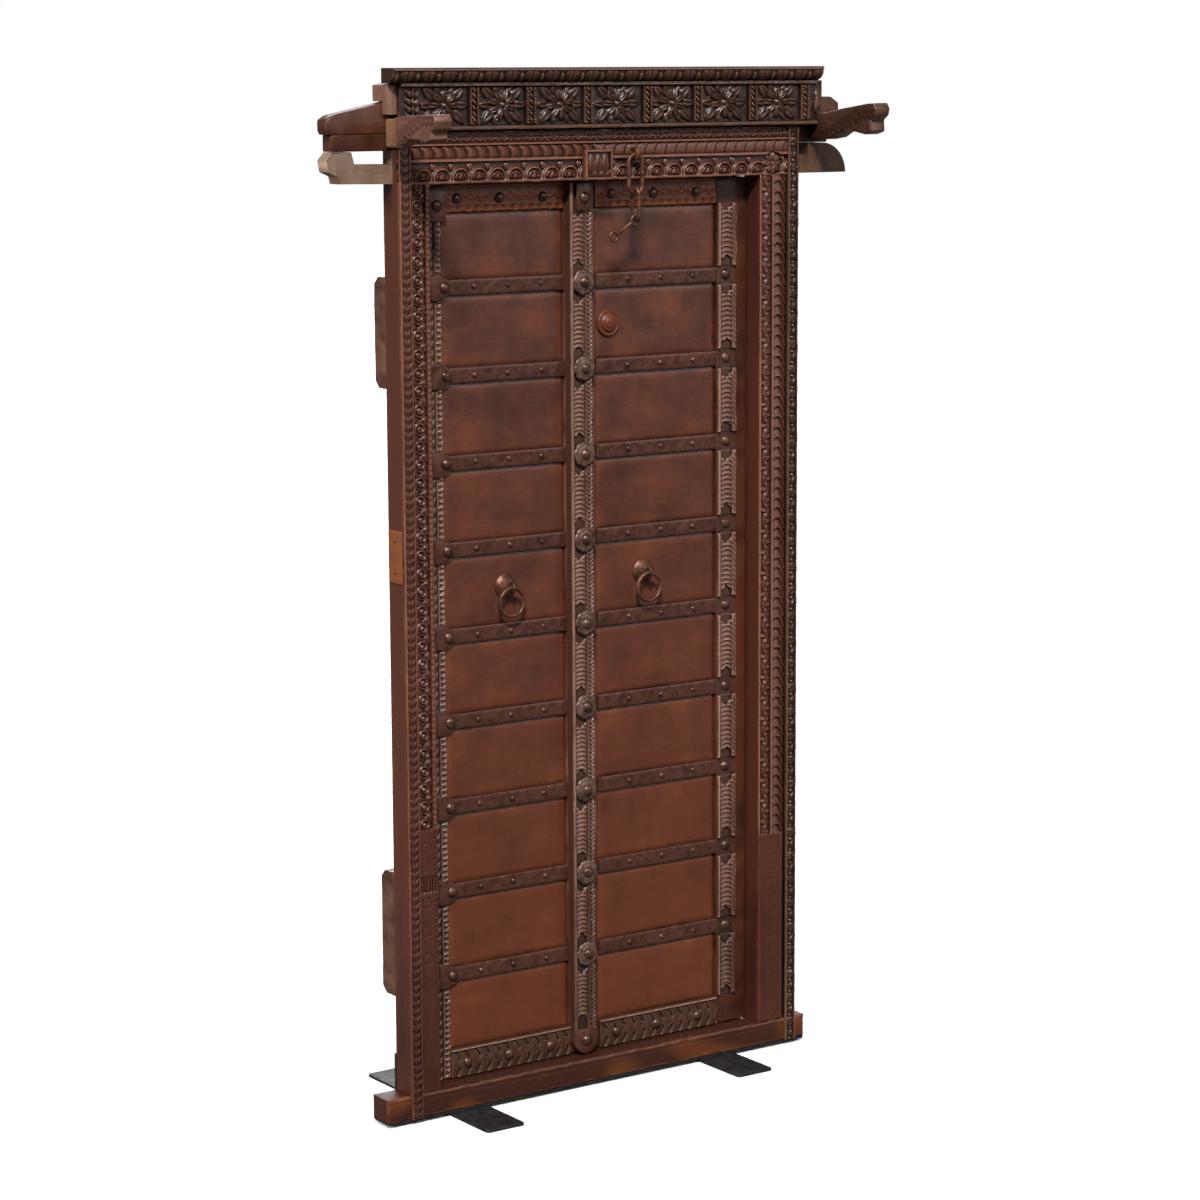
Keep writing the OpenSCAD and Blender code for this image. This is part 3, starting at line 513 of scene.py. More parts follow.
def relief_board(name: str, lo: Sequence[float], hi: Sequence[float], step: float,
                 rule: Callable[[Field, Field], tuple[Field, Field]], rounding: float = 2.5,
                 rough_side: float = 0.6, seed: int = 3) -> bpy.types.Object:
    """Make a closed board that is carved on its front, the side to -Y.

    Args:
        name: Name of the piece.
        lo: Lowest corner in metres.
        hi: Highest corner in metres.
        step: Grid step of the carved face in millimetres.
        rule: Gives depth in millimetres and tone, from X and Z in millimetres.
        rounding: Radius of the worn front edges in millimetres.
        rough_side: How uneven the plain sides are, in millimetres.
        seed: Seed of the unevenness.

    Returns:
        The board.
    """
    (left, front, foot), (right, back, head) = np.array(lo) / MM, np.array(hi) / MM
    nu = max(2, int(round((right - left) / step)) + 1)
    nv = max(2, int(round((head - foot) / step)) + 1)
    u, v = np.meshgrid(np.linspace(left, right, nu), np.linspace(foot, head, nv))
    depth, tone = rule(u, v)
    depth = depth + 0.25 * (1 + wander(u, v, 45, seed))
    edge = np.minimum(np.minimum(u - left, right - u), np.minimum(v - foot, head - v))
    if rounding > 0:
        near = np.clip(rounding * (1 + 0.5 * wander(u, v, 30, seed + 5)) - edge, 0, rounding)
        depth = np.maximum(depth, near * near / rounding)
    # Painted shade and highlight: points sunk below their neighbours and deep cuts get a darker colour value,
    # and points standing proud a lighter one; the rounded front edges get lighter as worn edges.
    local = box_blur(depth, max(2, int(5 / step))) - depth
    worn = np.clip(0.5 + 0.16 * local - 0.035 * (depth - np.median(depth)), 0, 1)
    if rounding > 0:
        worn = np.clip(worn + 0.3 * np.exp(-edge / (0.8 * rounding)), 0, 1)
    thick = back - front
    grid = np.stack([u, front + np.minimum(depth, thick - LEAST_WOOD), v], axis=-1)
    index = np.arange(nu * nv).reshape(nv, nu)
    quads = np.stack([index[:-1, :-1], index[:-1, 1:], index[1:, 1:], index[1:, :-1]], axis=-1).reshape(-1, 4)
    loop = np.concatenate([index[0, :-1], index[:-1, -1], index[-1, :0:-1], index[:0:-1, 0]])
    verts = [grid.reshape(-1, 3)]
    wear_and_shade_parts, tones = [worn.ravel()], [tone.ravel()]
    faces = [tuple(q) for q in quads]
    rim = grid.reshape(-1, 3)[loop]
    at_side = np.isclose(rim[:, 0], left) | np.isclose(rim[:, 0], right)
    at_end = np.isclose(rim[:, 2], foot) | np.isclose(rim[:, 2], head)
    previous, count = loop, nu * nv
    levels = (0.12, 0.4, 0.7, 1.0) if thick > THIN_BOARD else (1.0,)
    for level in levels:
        ring = rim.copy()
        ring[:, 1] = rim[:, 1] + (back - rim[:, 1]) * level
        if level < 1:
            uneven = rough_side * 0.5 * (1 + wander(ring[:, 0] + 3 * ring[:, 1], ring[:, 2], 50, seed + 9))
            ring[:, 0] -= np.sign(rim[:, 0] - 0.5 * (left + right)) * uneven * at_side
            ring[:, 2] -= np.sign(rim[:, 2] - 0.5 * (foot + head)) * uneven * at_end
        now = np.arange(count, count + len(loop))
        for k in range(len(loop)):
            n = (k + 1) % len(loop)
            faces.append((previous[k], now[k], now[n], previous[n]))
        verts.append(ring)
        wear_and_shade_parts.append(np.full(len(loop), 0.5 if level < 1 else 0.62))
        tones.append(tones[0][loop] * 0)
        previous, count = now, count + len(loop)
    faces.append(tuple(previous))
    points = np.concatenate(verts)
    piece = mesh_object(name, points * MM, faces,
                        {"worn": np.concatenate(wear_and_shade_parts), "tone": np.concatenate(tones)})
    outward(piece)
    piece.data.set_sharp_from_angle(angle=math.radians(50))
    return piece


def outward(piece: bpy.types.Object) -> None:
    """Turn all faces of a closed mesh outwards."""
    bm = bmesh.new()
    bm.from_mesh(piece.data)
    bmesh.ops.recalc_face_normals(bm, faces=bm.faces)
    bm.to_mesh(piece.data)
    bm.free()


def node_copy(node: str, name: str) -> bmesh.types.BMesh:
    """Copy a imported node's mesh with its loose triangles merged into clean faces.

    Args:
        node: Node's name.
        name: Name of the new piece, for messages.

    Returns:
        An editable mesh.
    """
    source = bpy.data.objects[node]
    bm = bmesh.new()
    bm.from_mesh(source.data)
    bmesh.ops.remove_doubles(bm, verts=bm.verts, dist=2e-5)
    bmesh.ops.recalc_face_normals(bm, faces=bm.faces)
    LOG.debug("%s copied for %s", node, name)
    return bm


def worn_copy(node: str, name: str, bevel: float = 2.5, slice_mm: float = 28.0, uneven: float = 0.7,
              seed: int = 11, keep_behind: float | None = None,
              tone_at: Callable[[Vector], float] | None = None) -> bpy.types.Object:
    """Copy a squared timber or plate with rounded edges and a hand-worked surface.

    Args:
        node: Node to copy.
        name: Name of the new piece.
        bevel: Width of the worn edges in millimetres.
        slice_mm: Distance between the cuts along its length.
        uneven: Depth of the surface's unevenness in millimetres.
        seed: Seed of the unevenness.
        keep_behind: Cuts away all in front of this depth, in metres, if given.
        tone_at: Gives the tone at a place in metres, if it isn't 0 all over.

    Returns:
        The new piece.
    """
    bm = node_copy(node, name)
    if keep_behind is not None:
        geometry = bm.verts[:] + bm.edges[:] + bm.faces[:]
        bmesh.ops.bisect_plane(bm, geom=geometry, plane_co=(0, keep_behind, 0), plane_no=(0, -1, 0),
                               clear_outer=True)
        rim = [e for e in bm.edges if e.is_boundary]
        bmesh.ops.holes_fill(bm, edges=rim, sides=0)
    bmesh.ops.dissolve_limit(bm, angle_limit=math.radians(1.5), verts=bm.verts, edges=bm.edges)
    layer = bm.verts.layers.float.new("worn")
    tone = bm.verts.layers.float.new("tone")
    sharp = [e for e in bm.edges if len(e.link_faces) == 2 and e.calc_face_angle(0) > math.radians(25)]
    done = bmesh.ops.bevel(bm, geom=sharp, offset=bevel * MM, offset_type="OFFSET", segments=2,
                           profile=0.5, affect="EDGES", clamp_overlap=True)
    edge_verts = set(done["verts"])
    for vert in bm.verts:
        vert[layer] = 0.78 if vert in edge_verts else 0.5
    size = [max(v.co[k] for v in bm.verts) - min(v.co[k] for v in bm.verts) for k in range(3)]
    axis = size.index(max(size))
    start = min(v.co[axis] for v in bm.verts)
    count = int(size[axis] / (slice_mm * MM))
    normal = [0.0, 0.0, 0.0]
    normal[axis] = 1.0
    for k in range(1, count):
        place = [0.0, 0.0, 0.0]
        place[axis] = start + k * size[axis] / count
        bmesh.ops.bisect_plane(bm, geom=bm.verts[:] + bm.edges[:] + bm.faces[:], plane_co=place,
                               plane_no=normal)
    bm.normal_update()
    pts = np.array([v.co[:] for v in bm.verts]) / MM
    push = 0.5 * uneven * (1 + wander(pts[:, 0] + pts[:, 1], pts[:, 2] + 0.6 * pts[:, 1], 70, seed))
    for vert, depth in zip(bm.verts, push):
        stacked = 0.05 if abs(vert.normal.z) > 0.7 else 1.0
        vert.co -= vert.normal * float(depth) * MM * stacked
        vert[tone] = 0.0 if tone_at is None else tone_at(vert.co)
        vert[layer] = min(1.0, max(0.0, vert[layer] + 0.12 * math.sin(1e3 * depth)))
    mesh = bpy.data.meshes.new(name)
    bm.to_mesh(mesh)
    bm.free()
    mesh.polygons.foreach_set("use_smooth", [True] * len(mesh.polygons))
    mesh.set_sharp_from_angle(angle=math.radians(40))
    piece = bpy.data.objects.new(name, mesh)
    bpy.context.collection.objects.link(piece)
    return piece


def forged_copy(node: str, name: str, depth: float = 0.45, size: float = 9.0,
                seed: int = 21) -> bpy.types.Object:
    """Copy a round iron piece with the dents of hand forging.

    Args:
        node: Node to copy.
        name: Name of the new piece.
        depth: Deepest dent in millimetres.
        size: Size of the dents in millimetres.
        seed: Seed of the dents.

    Returns:
        The new piece.
    """
    bm = node_copy(node, name)
    bm.normal_update()
    pts = np.array([v.co[:] for v in bm.verts]) / MM
    push = 0.5 * depth * (1 + wander(pts[:, 0] - pts[:, 1], pts[:, 2] + 0.8 * pts[:, 1], size, seed))
    for vert, dent in zip(bm.verts, push):
        vert.co -= vert.normal * float(dent) * MM
    mesh = bpy.data.meshes.new(name)
    bm.to_mesh(mesh)
    bm.free()
    mesh.polygons.foreach_set("use_smooth", [True] * len(mesh.polygons))
    mesh.set_sharp_from_angle(angle=math.radians(45))
    piece = bpy.data.objects.new(name, mesh)
    bpy.context.collection.objects.link(piece)
    return piece


def disc_unit(name: str, radius: float, profile: Callable[[Field, Field], Field],
              outline: Callable[[Field], Field] | None = None, rings: int = 6,
              sides: int = 24) -> bpy.types.Object:
    """Make a round unit that stands on the plane y = 0 and looks to -Y.

    Args:
        name: Name of the unit.
        radius: Radius in millimetres.
        profile: Height in millimetres from r / radius and angle.
        outline: Factor on the radius from the angle.
        rings: Rings between middle and rim.
        sides: Points around.

    Returns:
        The unit object.
    """
    angle = np.linspace(0, 2 * math.pi, sides, endpoint=False)
    part = np.linspace(0, 1, rings + 1)[1:]
    r, a = np.meshgrid(part, angle, indexing="ij")
    reach = radius * r * (1 if outline is None else outline(a))
    high = profile(r, a)
    ring_pts = np.stack([reach * np.cos(a), -high, reach * np.sin(a)], axis=-1).reshape(-1, 3)
    top = np.array([[0, -float(profile(np.zeros(1), np.zeros(1))[0]), 0]])
    base = ring_pts[-sides:].copy()
    base[:, 1] = 1.0
    pts = np.concatenate([top, ring_pts, base])
    faces: list[tuple[int, ...]] = [(0, 1 + k, 1 + (k + 1) % sides) for k in range(sides)]
    for ring in range(rings):
        first, second = 1 + ring * sides, 1 + (ring + 1) * sides
        faces += [(first + k, second + k, second + (k + 1) % sides, first + (k + 1) % sides)
                  for k in range(sides)]
    faces.append(tuple(1 + rings * sides + k for k in range(sides)))
    worn = np.full(len(pts), 0.5)
    unit = mesh_object(name, pts * MM, faces, {"worn": worn, "tone": worn * 0})
    outward(unit)
    return unit


# ---------------------------------------------------------------- copies by geometry nodes


class CopyRows:
    """A geometry node tree that sets copies of one unit in a grid of rows."""

    inputs: tuple[tuple[str, str], ...] = (
        ("Unit", "NodeSocketObject"), ("Start", "NodeSocketVector"),
        ("Count A", "NodeSocketInt"), ("Step A", "NodeSocketVector"),
        ("Count B", "NodeSocketInt"), ("Step B", "NodeSocketVector"),
        ("Jitter", "NodeSocketFloat"), ("Spin", "NodeSocketFloat"), ("Size Spread", "NodeSocketFloat"),
        ("Seed", "NodeSocketInt"), ("Finish", "NodeSocketMaterial"))

    def __init__(self) -> None:
        """Build the tree once."""
        tree = bpy.data.node_groups.new("copy_rows", "GeometryNodeTree")
        self.tree = tree
        for name, kind in self.inputs:
            tree.interface.new_socket(name, in_out="INPUT", socket_type=kind)
        tree.interface.new_socket("Geometry", in_out="OUTPUT", socket_type="NodeSocketGeometry")
        given = add(tree, "NodeGroupInput").outputs
        row = add(tree, "GeometryNodeMeshLine", links={"Count": given["Count A"], "Offset": given["Step A"],
                                                       "Start Location": given["Start"]})
        cross = add(tree, "GeometryNodeMeshLine",
                    links={"Count": given["Count B"], "Offset": given["Step B"]})
        spread = add(tree, "GeometryNodeInstanceOnPoints",
                     links={"Points": row.outputs[0], "Instance": cross.outputs[0]})
        points = add(tree, "GeometryNodeRealizeInstances", links={0: spread.outputs[0]})
        minus = add(tree, "ShaderNodeMath", {"operation": "MULTIPLY", 1: -1.0}, {0: given["Jitter"]})
        low = add(tree, "ShaderNodeCombineXYZ", links={0: minus.outputs[0], 2: minus.outputs[0]})
        high = add(tree, "ShaderNodeCombineXYZ", links={0: given["Jitter"], 2: given["Jitter"]})
        shift = add(tree, "FunctionNodeRandomValue", {"data_type": "FLOAT_VECTOR"},
                    {0: low.outputs[0], 1: high.outputs[0], "Seed": given["Seed"]})
        moved = add(tree, "GeometryNodeSetPosition", links={0: points.outputs[0], "Offset": shift.outputs[0]})
        unspin = add(tree, "ShaderNodeMath", {"operation": "MULTIPLY", 1: -1.0}, {0: given["Spin"]})
        turn = add(tree, "FunctionNodeRandomValue", {"data_type": "FLOAT"},
                   {2: unspin.outputs[0], 3: given["Spin"], "Seed": given["Seed"]})
        angles = add(tree, "ShaderNodeCombineXYZ", links={1: turn.outputs[1]})
        less = add(tree, "ShaderNodeMath", {"operation": "SUBTRACT", 0: 1.0}, {1: given["Size Spread"]})
        size = add(tree, "FunctionNodeRandomValue", {"data_type": "FLOAT", 3: 1.0},
                   {2: less.outputs[0], "Seed": given["Seed"]})
        unit = add(tree, "GeometryNodeObjectInfo", links={"Object": given["Unit"]})
        copies = add(tree, "GeometryNodeInstanceOnPoints",
                     links={"Points": moved.outputs[0], "Instance": unit.outputs["Geometry"],
                            "Rotation": angles.outputs[0], "Scale": size.outputs[1]})
        real = add(tree, "GeometryNodeRealizeInstances", links={0: copies.outputs[0]})
        dressed = add(tree, "GeometryNodeSetMaterial",
                      links={0: real.outputs[0], "Material": given["Finish"]})
        add(tree, "NodeGroupOutput", links={0: dressed.outputs[0]})

    def make(self, name: str, unit: bpy.types.Object, finish: bpy.types.Material, start: Sequence[float],
             rows: tuple[int, Sequence[float]], columns: tuple[int, Sequence[float]] = (1, (0, 0, 0)),
             jitter: float = 0.0, spin: float = 0.0, spread: float = 0.0, seed: int = 1) -> bpy.types.Object:
        """Set the copies and turn them into a plain mesh.

        Args:
            name: Name of the new piece.
            unit: Object that is copied.
            finish: Its material.
            start: Place of the first copy, in metres.
            rows: Number of rows and the step between them, in metres.
            columns: Number in each row and the step between them, in metres.
            jitter: Random shift in metres.
            spin: Random turn about Y in radians.
            spread: Random loss of size as a fraction.
            seed: Fixed seed.

        Returns:
            The piece.
        """
        holder = bpy.data.objects.new(name, bpy.data.meshes.new(name + "_holder"))
        bpy.context.collection.objects.link(holder)
        modifier = holder.modifiers.new("copies", "NODES")
        modifier.node_group = self.tree
        values = {"Unit": unit, "Start": tuple(start), "Count A": rows[0], "Step A": tuple(rows[1]),
                  "Count B": columns[0], "Step B": tuple(columns[1]), "Jitter": jitter, "Spin": spin,
                  "Size Spread": spread, "Seed": seed, "Finish": finish}
        for item in self.tree.interface.items_tree:
            if item.in_out == "INPUT":
                modifier[item.identifier] = values[item.name]
        graph = bpy.context.evaluated_depsgraph_get()
        mesh = bpy.data.meshes.new_from_object(holder.evaluated_get(graph), depsgraph=graph)
        holder.modifiers.clear()
        old = holder.data
        holder.data = mesh
        bpy.data.meshes.remove(old)
        mesh.name = name
        return holder


def drop(*objects: bpy.types.Object) -> None:
    """Remove helper objects."""
    for item in objects:
        bpy.data.objects.remove(item, do_unlink=True)


def dress(piece: bpy.types.Object, finish: bpy.types.Material, body: str,
          nodes: Iterable[str] = ()) -> bpy.types.Object:
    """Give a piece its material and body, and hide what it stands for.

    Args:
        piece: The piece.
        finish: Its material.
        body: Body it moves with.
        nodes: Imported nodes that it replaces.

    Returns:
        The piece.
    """
    if not piece.data.materials or piece.data.materials[0] is not finish:
        piece.data.materials.clear()
        piece.data.materials.append(finish)
    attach(piece, body)
    names = list(nodes)
    if names:
        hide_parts(*names)
    LOG.info("%s: %d faces on %s", piece.name, len(piece.data.polygons), body)
    return piece


def repaint(node: str, finish: bpy.types.Material) -> None:
    """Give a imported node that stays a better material."""
    item = bpy.data.objects[node]
    if not item.material_slots:
        item.data.materials.append(finish)
    for spot in item.material_slots:
        spot.link = "OBJECT"
        spot.material = finish


# ---------------------------------------------------------------- the frame


def corners(node: str) -> tuple[Field, Field]:
    """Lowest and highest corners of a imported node, in metres."""
    lo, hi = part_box(node)
    return np.array(lo, dtype=float), np.array(hi, dtype=float)


@dataclass
class Jambs:
    """Both jambs with their carved bands and the strips nailed down their outer edges."""

    body: str = "frame"
    whorl_pitch: float = 37.0
    arc_pitch: float = 22.0
    floret_pitch: float = 54.0
    carved_from: float = 620.0

    def left_rule(self, u: Field, v: Field) -> tuple[Field, Field]:
        """Fillet, whorl column and scalloped fillet; simple cuts below."""
        x0 = float(u.min())
        a = u - x0
        whorls = carve([
            Band(0, 25, 0, None),
            Band(25, 28, 1.0, lambda x, t: 0.6 + 0.4 * np.abs(np.cos(math.pi * t / 9.0)), 0.8),
            Band(28, 62, 7.5, self.whorl_column, 0.1),
            Band(62, 69, 3.2, lambda x, t: np.abs(np.sin(math.pi * (t + 0.7 * x) / 12.0)) ** 0.5, 0.35),
            Band(69, 72, 0.6, None, 0.5)], a, v, 41)
        low = carve([
            Band(0, 28, 0.6, None),
            Band(28, 62, 1.4,
                 lambda x, t: 1 - 0.9 * np.exp(-((np.hypot(x, repeat(t, 58.0)) - 11) / 1.5) ** 2), 0.1),
            Band(62, 72, 1.2, lambda x, t: zigzag(x, t, 11.0, 10.0))], a, v, 43)
        flutes = (0.5 - 0.5 * np.cos(2 * math.pi * a / 7.0)) * 3.4
        carved = v > self.carved_from
        depth = np.where(carved, whorls[0], low[0] * np.clip((v - 200) / 150, 0, 1))
        tone = np.where(carved, whorls[1], low[1])
        block = (v > 486) & (v < 522) & (a > 28)
        return np.where(block, flutes, depth), tone

    def whorl_column(self, x: Field, t: Field) -> Field:
        """A column of whorls with pairs of crescent leaves between them."""
        w = repeat(t, self.whorl_pitch)
        between = repeat(t - 0.5 * self.whorl_pitch, self.whorl_pitch)
        high = whorl(x, w, 17.0, 2.0, 1)
        for side in (-1, 1):
            high = np.maximum(high, 0.95 * leaf(x - 10 * side, between, 9.5, 5.2, 90 - 38 * side))
            high = np.maximum(high,
                              0.8 * leaf(x - 13.0 * side, between + 8.0 * side, 7.0, 3.4, 90 + 25 * side))
        return high

    def right_rule(self, u: Field, v: Field) -> tuple[Field, Field]:
        """Foliage, a ridge and a run of overlapping leaf arcs."""
        a = u - float(u.min())
        full = carve([
            Band(0, 4, 0.3, None),
            Band(4, 33, 5.5, lambda x, t: foliage(x, t, 46.0, 28.0), 0.1),
            Band(33, 37.5, 0.8, lambda x, t: 0.7 + 0.3 * np.cos(2 * math.pi * t / 17.0), 0.7),
            Band(37.5, 69, 7.0, lambda x, t: scales(x + 4, t, self.arc_pitch, 16.0, 32.0), 0.15),
            Band(69, 74, 6.0, lambda x, t: 0 * x),
            Band(74, 98, 0.0, None)], a, v, 47)
        low = carve([
            Band(0, 6, 0.3, None),
            Band(6, 66, 0.9, lambda x, t: 1 - 0.8 * np.exp(-((np.hypot(x, repeat(t, 92.0)) - 19) / 1.7) ** 2)
                 - 0.6 * np.exp(-((np.hypot(x, repeat(t - 46, 92.0)) - 9) / 1.5) ** 2), 0.05),
            Band(66, 74, 5.0, lambda x, t: 0 * x)], a, v, 49)
        carved = v > self.carved_from - 130
        return np.where(carved, full[0], low[0]), np.where(carved, full[1], low[1])

    def left_strip_rule(self, u: Field, v: Field) -> tuple[Field, Field]:
        """A strip of small leaves in slanting pairs."""
        a = u - float(u.min())
        return carve([
            Band(0, 3.5, 0.5, None, 0.2),
            Band(3.5, 22.5, 2.9, lambda x, t: np.maximum(
                leaf(np.abs(x) - 4.5, repeat(t - 0.55 * np.abs(x), 17.0), 6.8, 4.6, 50),
                0.8 * np.exp(-(x / 1.3) ** 2)), 0.0),
            Band(22.5, 26, 0.5, None, 0.35)], a, v, 53, 0.6)

    def right_strip_rule(self, u: Field, v: Field) -> tuple[Field, Field]:
        """A strip of florets with leaves and beads between them."""
        a = u - float(u.min())

        def run(x: Field, t: Field) -> Field:
            w = repeat(t, self.floret_pitch)
            between = repeat(t - 0.5 * self.floret_pitch, self.floret_pitch)
            high = rosette(x, w, 11.0, 8)
            for side in (-1, 1):
                high = np.maximum(high, 0.8 * leaf(x - 4.5 * side, between, 9.5, 4.4, 90 - 24 * side))
                high = np.maximum(high, bump_at(x, between - 12.5 * side, 3.2, 3.2))
            return high

        return carve([Band(0, 2.5, 0.4, None, 0.4), Band(2.5, 23.5, 4.6, run, 0.1),
                      Band(23.5, 26, 0.4, None, 0.4)], a, v, 59, 0.6)

    def build(self) -> None:
        """Build and dress the jambs, strips, repair patch and cleats."""
        wood = JAMB_WOOD.material(Grain.ALONG_Z)
        black = BLACK_WOOD.material(Grain.ALONG_Z)
        for node, rule, step in (("left_jamb", self.left_rule, 2.05), ("right_jamb", self.right_rule, 2.3)):
            lo, hi = corners(node)
            dress(relief_board(f"{node}_carved", lo, hi, step, rule, seed=61), wood, self.body,
                  [node])
        for node, rule, finish in (("left_outer_strip", self.left_strip_rule, wood),
                                   ("right_outer_strip", self.right_strip_rule, black)):
            lo, hi = corners(node)
            dress(relief_board(f"{node}_carved", lo, hi, 1.95, rule, rounding=1.5, seed=67), finish,
                  self.body, [node])
        warm = WARM_WOOD.material(Grain.ALONG_Z)
        dress(worn_copy("side_patch", "side_repair_patch", 1.2, 12, 0.5, tone_at=lambda place: 0.9), warm,
              self.body,
              ["side_patch"])
        for node in ("left_upper_cleat", "left_lower_cleat", "right_upper_cleat", "right_lower_cleat"):
            dress(worn_copy(node, f"{node}_worn", 3.0, 20, 1.2), black, self.body, [node])
        repaint("patch_nails", RUST_IRON.material())


@dataclass
class Lintel:
    """The lintel: carved face, centre block, and the beam behind with its two horns."""

    body: str = "frame"
    setback_mm: float = 22.0
    rope_pitch: float = 26.0
    rope_lean: float = 0.42
    rope_turns_at: float = -20.0
    loop_pitch: float = 44.0
    flower: tuple[float, float, float] = (436.0, 25.0, 24.0)
    block_left: float = -0.058
    block_right: float = 0.010
    block_height: float = 0.062

    def loops(self, x: Field, t: Field) -> Field:
        """Arched scroll loops with a leaf under each arch."""
        w = repeat(t, self.loop_pitch)
        up = x + 14.0
        ring = np.hypot(w, up)
        arch = np.exp(-((ring - 19.0) / 3.0) ** 2)
        inner = 0.8 * np.exp(-((ring - 11.5) / 1.9) ** 2) * (up > 0)
        heart = leaf(up - 4, w, 8.0, 5.0, 0)
        gap = repeat(t - 0.5 * self.loop_pitch, self.loop_pitch)
        spandrel = 0.9 * leaf(up - 23, gap, 9.0, 5.5, 180)
        return np.maximum(np.maximum(arch, inner), np.maximum(heart, spandrel))

    def bands(self, lean: float) -> list[Band]:
        """Loops, a rope that slants by lean, and a small leaf band, from below upwards."""
        return [
            Band(0, 4.5, 0.4, None, 0.4), Band(4.5, 43, 7.0, self.loops, 0.1), Band(43, 48, 0.8, None, 0.6),
            Band(48, 75, 7.0, lambda x, t: gadroon(x, t, self.rope_pitch, lean, 28.0), 0.25),
            Band(75, 78.5, 0.8, None, 0.5), Band(78.5, 98, 4.5, lambda x, t: foliage(x, t, 30.0, 19.0), 0.1),
            Band(98, 102, 0.5, None, 0.5)]

    def rule(self, u: Field, v: Field) -> tuple[Field, Field]:
        """The bands, with a rope that turns its slant once, and one flower low on the right."""
        a = v - float(v.min())
        left = carve(self.bands(self.rope_lean), a, u, 71)
        right = carve(self.bands(-self.rope_lean), a, u, 71)
        depth, tone = (np.where(u < self.rope_turns_at, left[k], right[k]) for k in (0, 1))
        flower_x, flower_y, radius = self.flower
        x, y = u - flower_x, a - flower_y
        near = np.hypot(x, y) < radius + 1
        return np.where(near, 7.0 * (1 - rosette(x, y, radius, 8)), depth), tone

    def block_rule(self, u: Field, v: Field) -> tuple[Field, Field]:
        """The centre block: three upright leaves over a bar, between side fillets."""
        mid, foot = 0.5 * float(u.min() + u.max()), float(v.min())
        x, y = u - mid, v - foot
        high = np.zeros_like(x)
        for side in (-1, 0, 1):
            high = np.maximum(high, leaf(x - 17 * side, y - 34, 21.0, 9.5, 90))
            high = np.maximum(high, 0.8 * leaf(x - 17 * side - 8, y - 14, 9.0, 4.5, 60))
        rim = (np.abs(x) > 29) | (y < 6) | (y > 57)
        high = np.where(rim, 1.0, high)
        return 6.0 * (1 - high), np.where(rim, 0.4, 0.1)

    def build(self) -> None:
        """Build and dress the lintel."""
        lo, hi = corners("lintel")
        jamb_lo, _ = corners("left_jamb")
        _, jamb_hi = corners("right_jamb")
        front = jamb_lo[1]
        back = front + self.setback_mm * MM
        wood_x = JAMB_WOOD.material(Grain.ALONG_X)
        face = relief_board("lintel_carved_face", (jamb_lo[0], front, lo[2]), (jamb_hi[0], back, hi[2]), 2.0,
                            self.rule, seed=73)
        dress(face, wood_x, self.body, ["lintel"])
        block = relief_board("lintel_centre_block", (self.block_left, lo[1], lo[2]),
                             (self.block_right, front + 0.002, lo[2] + self.block_height), 1.3,
                             self.block_rule, seed=79)
        dress(block, wood_x, self.body, ["lintel"])
        beam = worn_copy("lintel", "lintel_beam_and_horns", 1.0, 20, 1.6, 83, keep_behind=back,
                         tone_at=self.horn_tone)
        dress(beam, PALE_WOOD.material(Grain.ALONG_X), self.body, ["lintel"])

    @staticmethod
    def horn_tone(place: Vector) -> float:
        """Bleached wood on the left horn only."""
        return 0.75 if place.x < -0.45 else 0.0


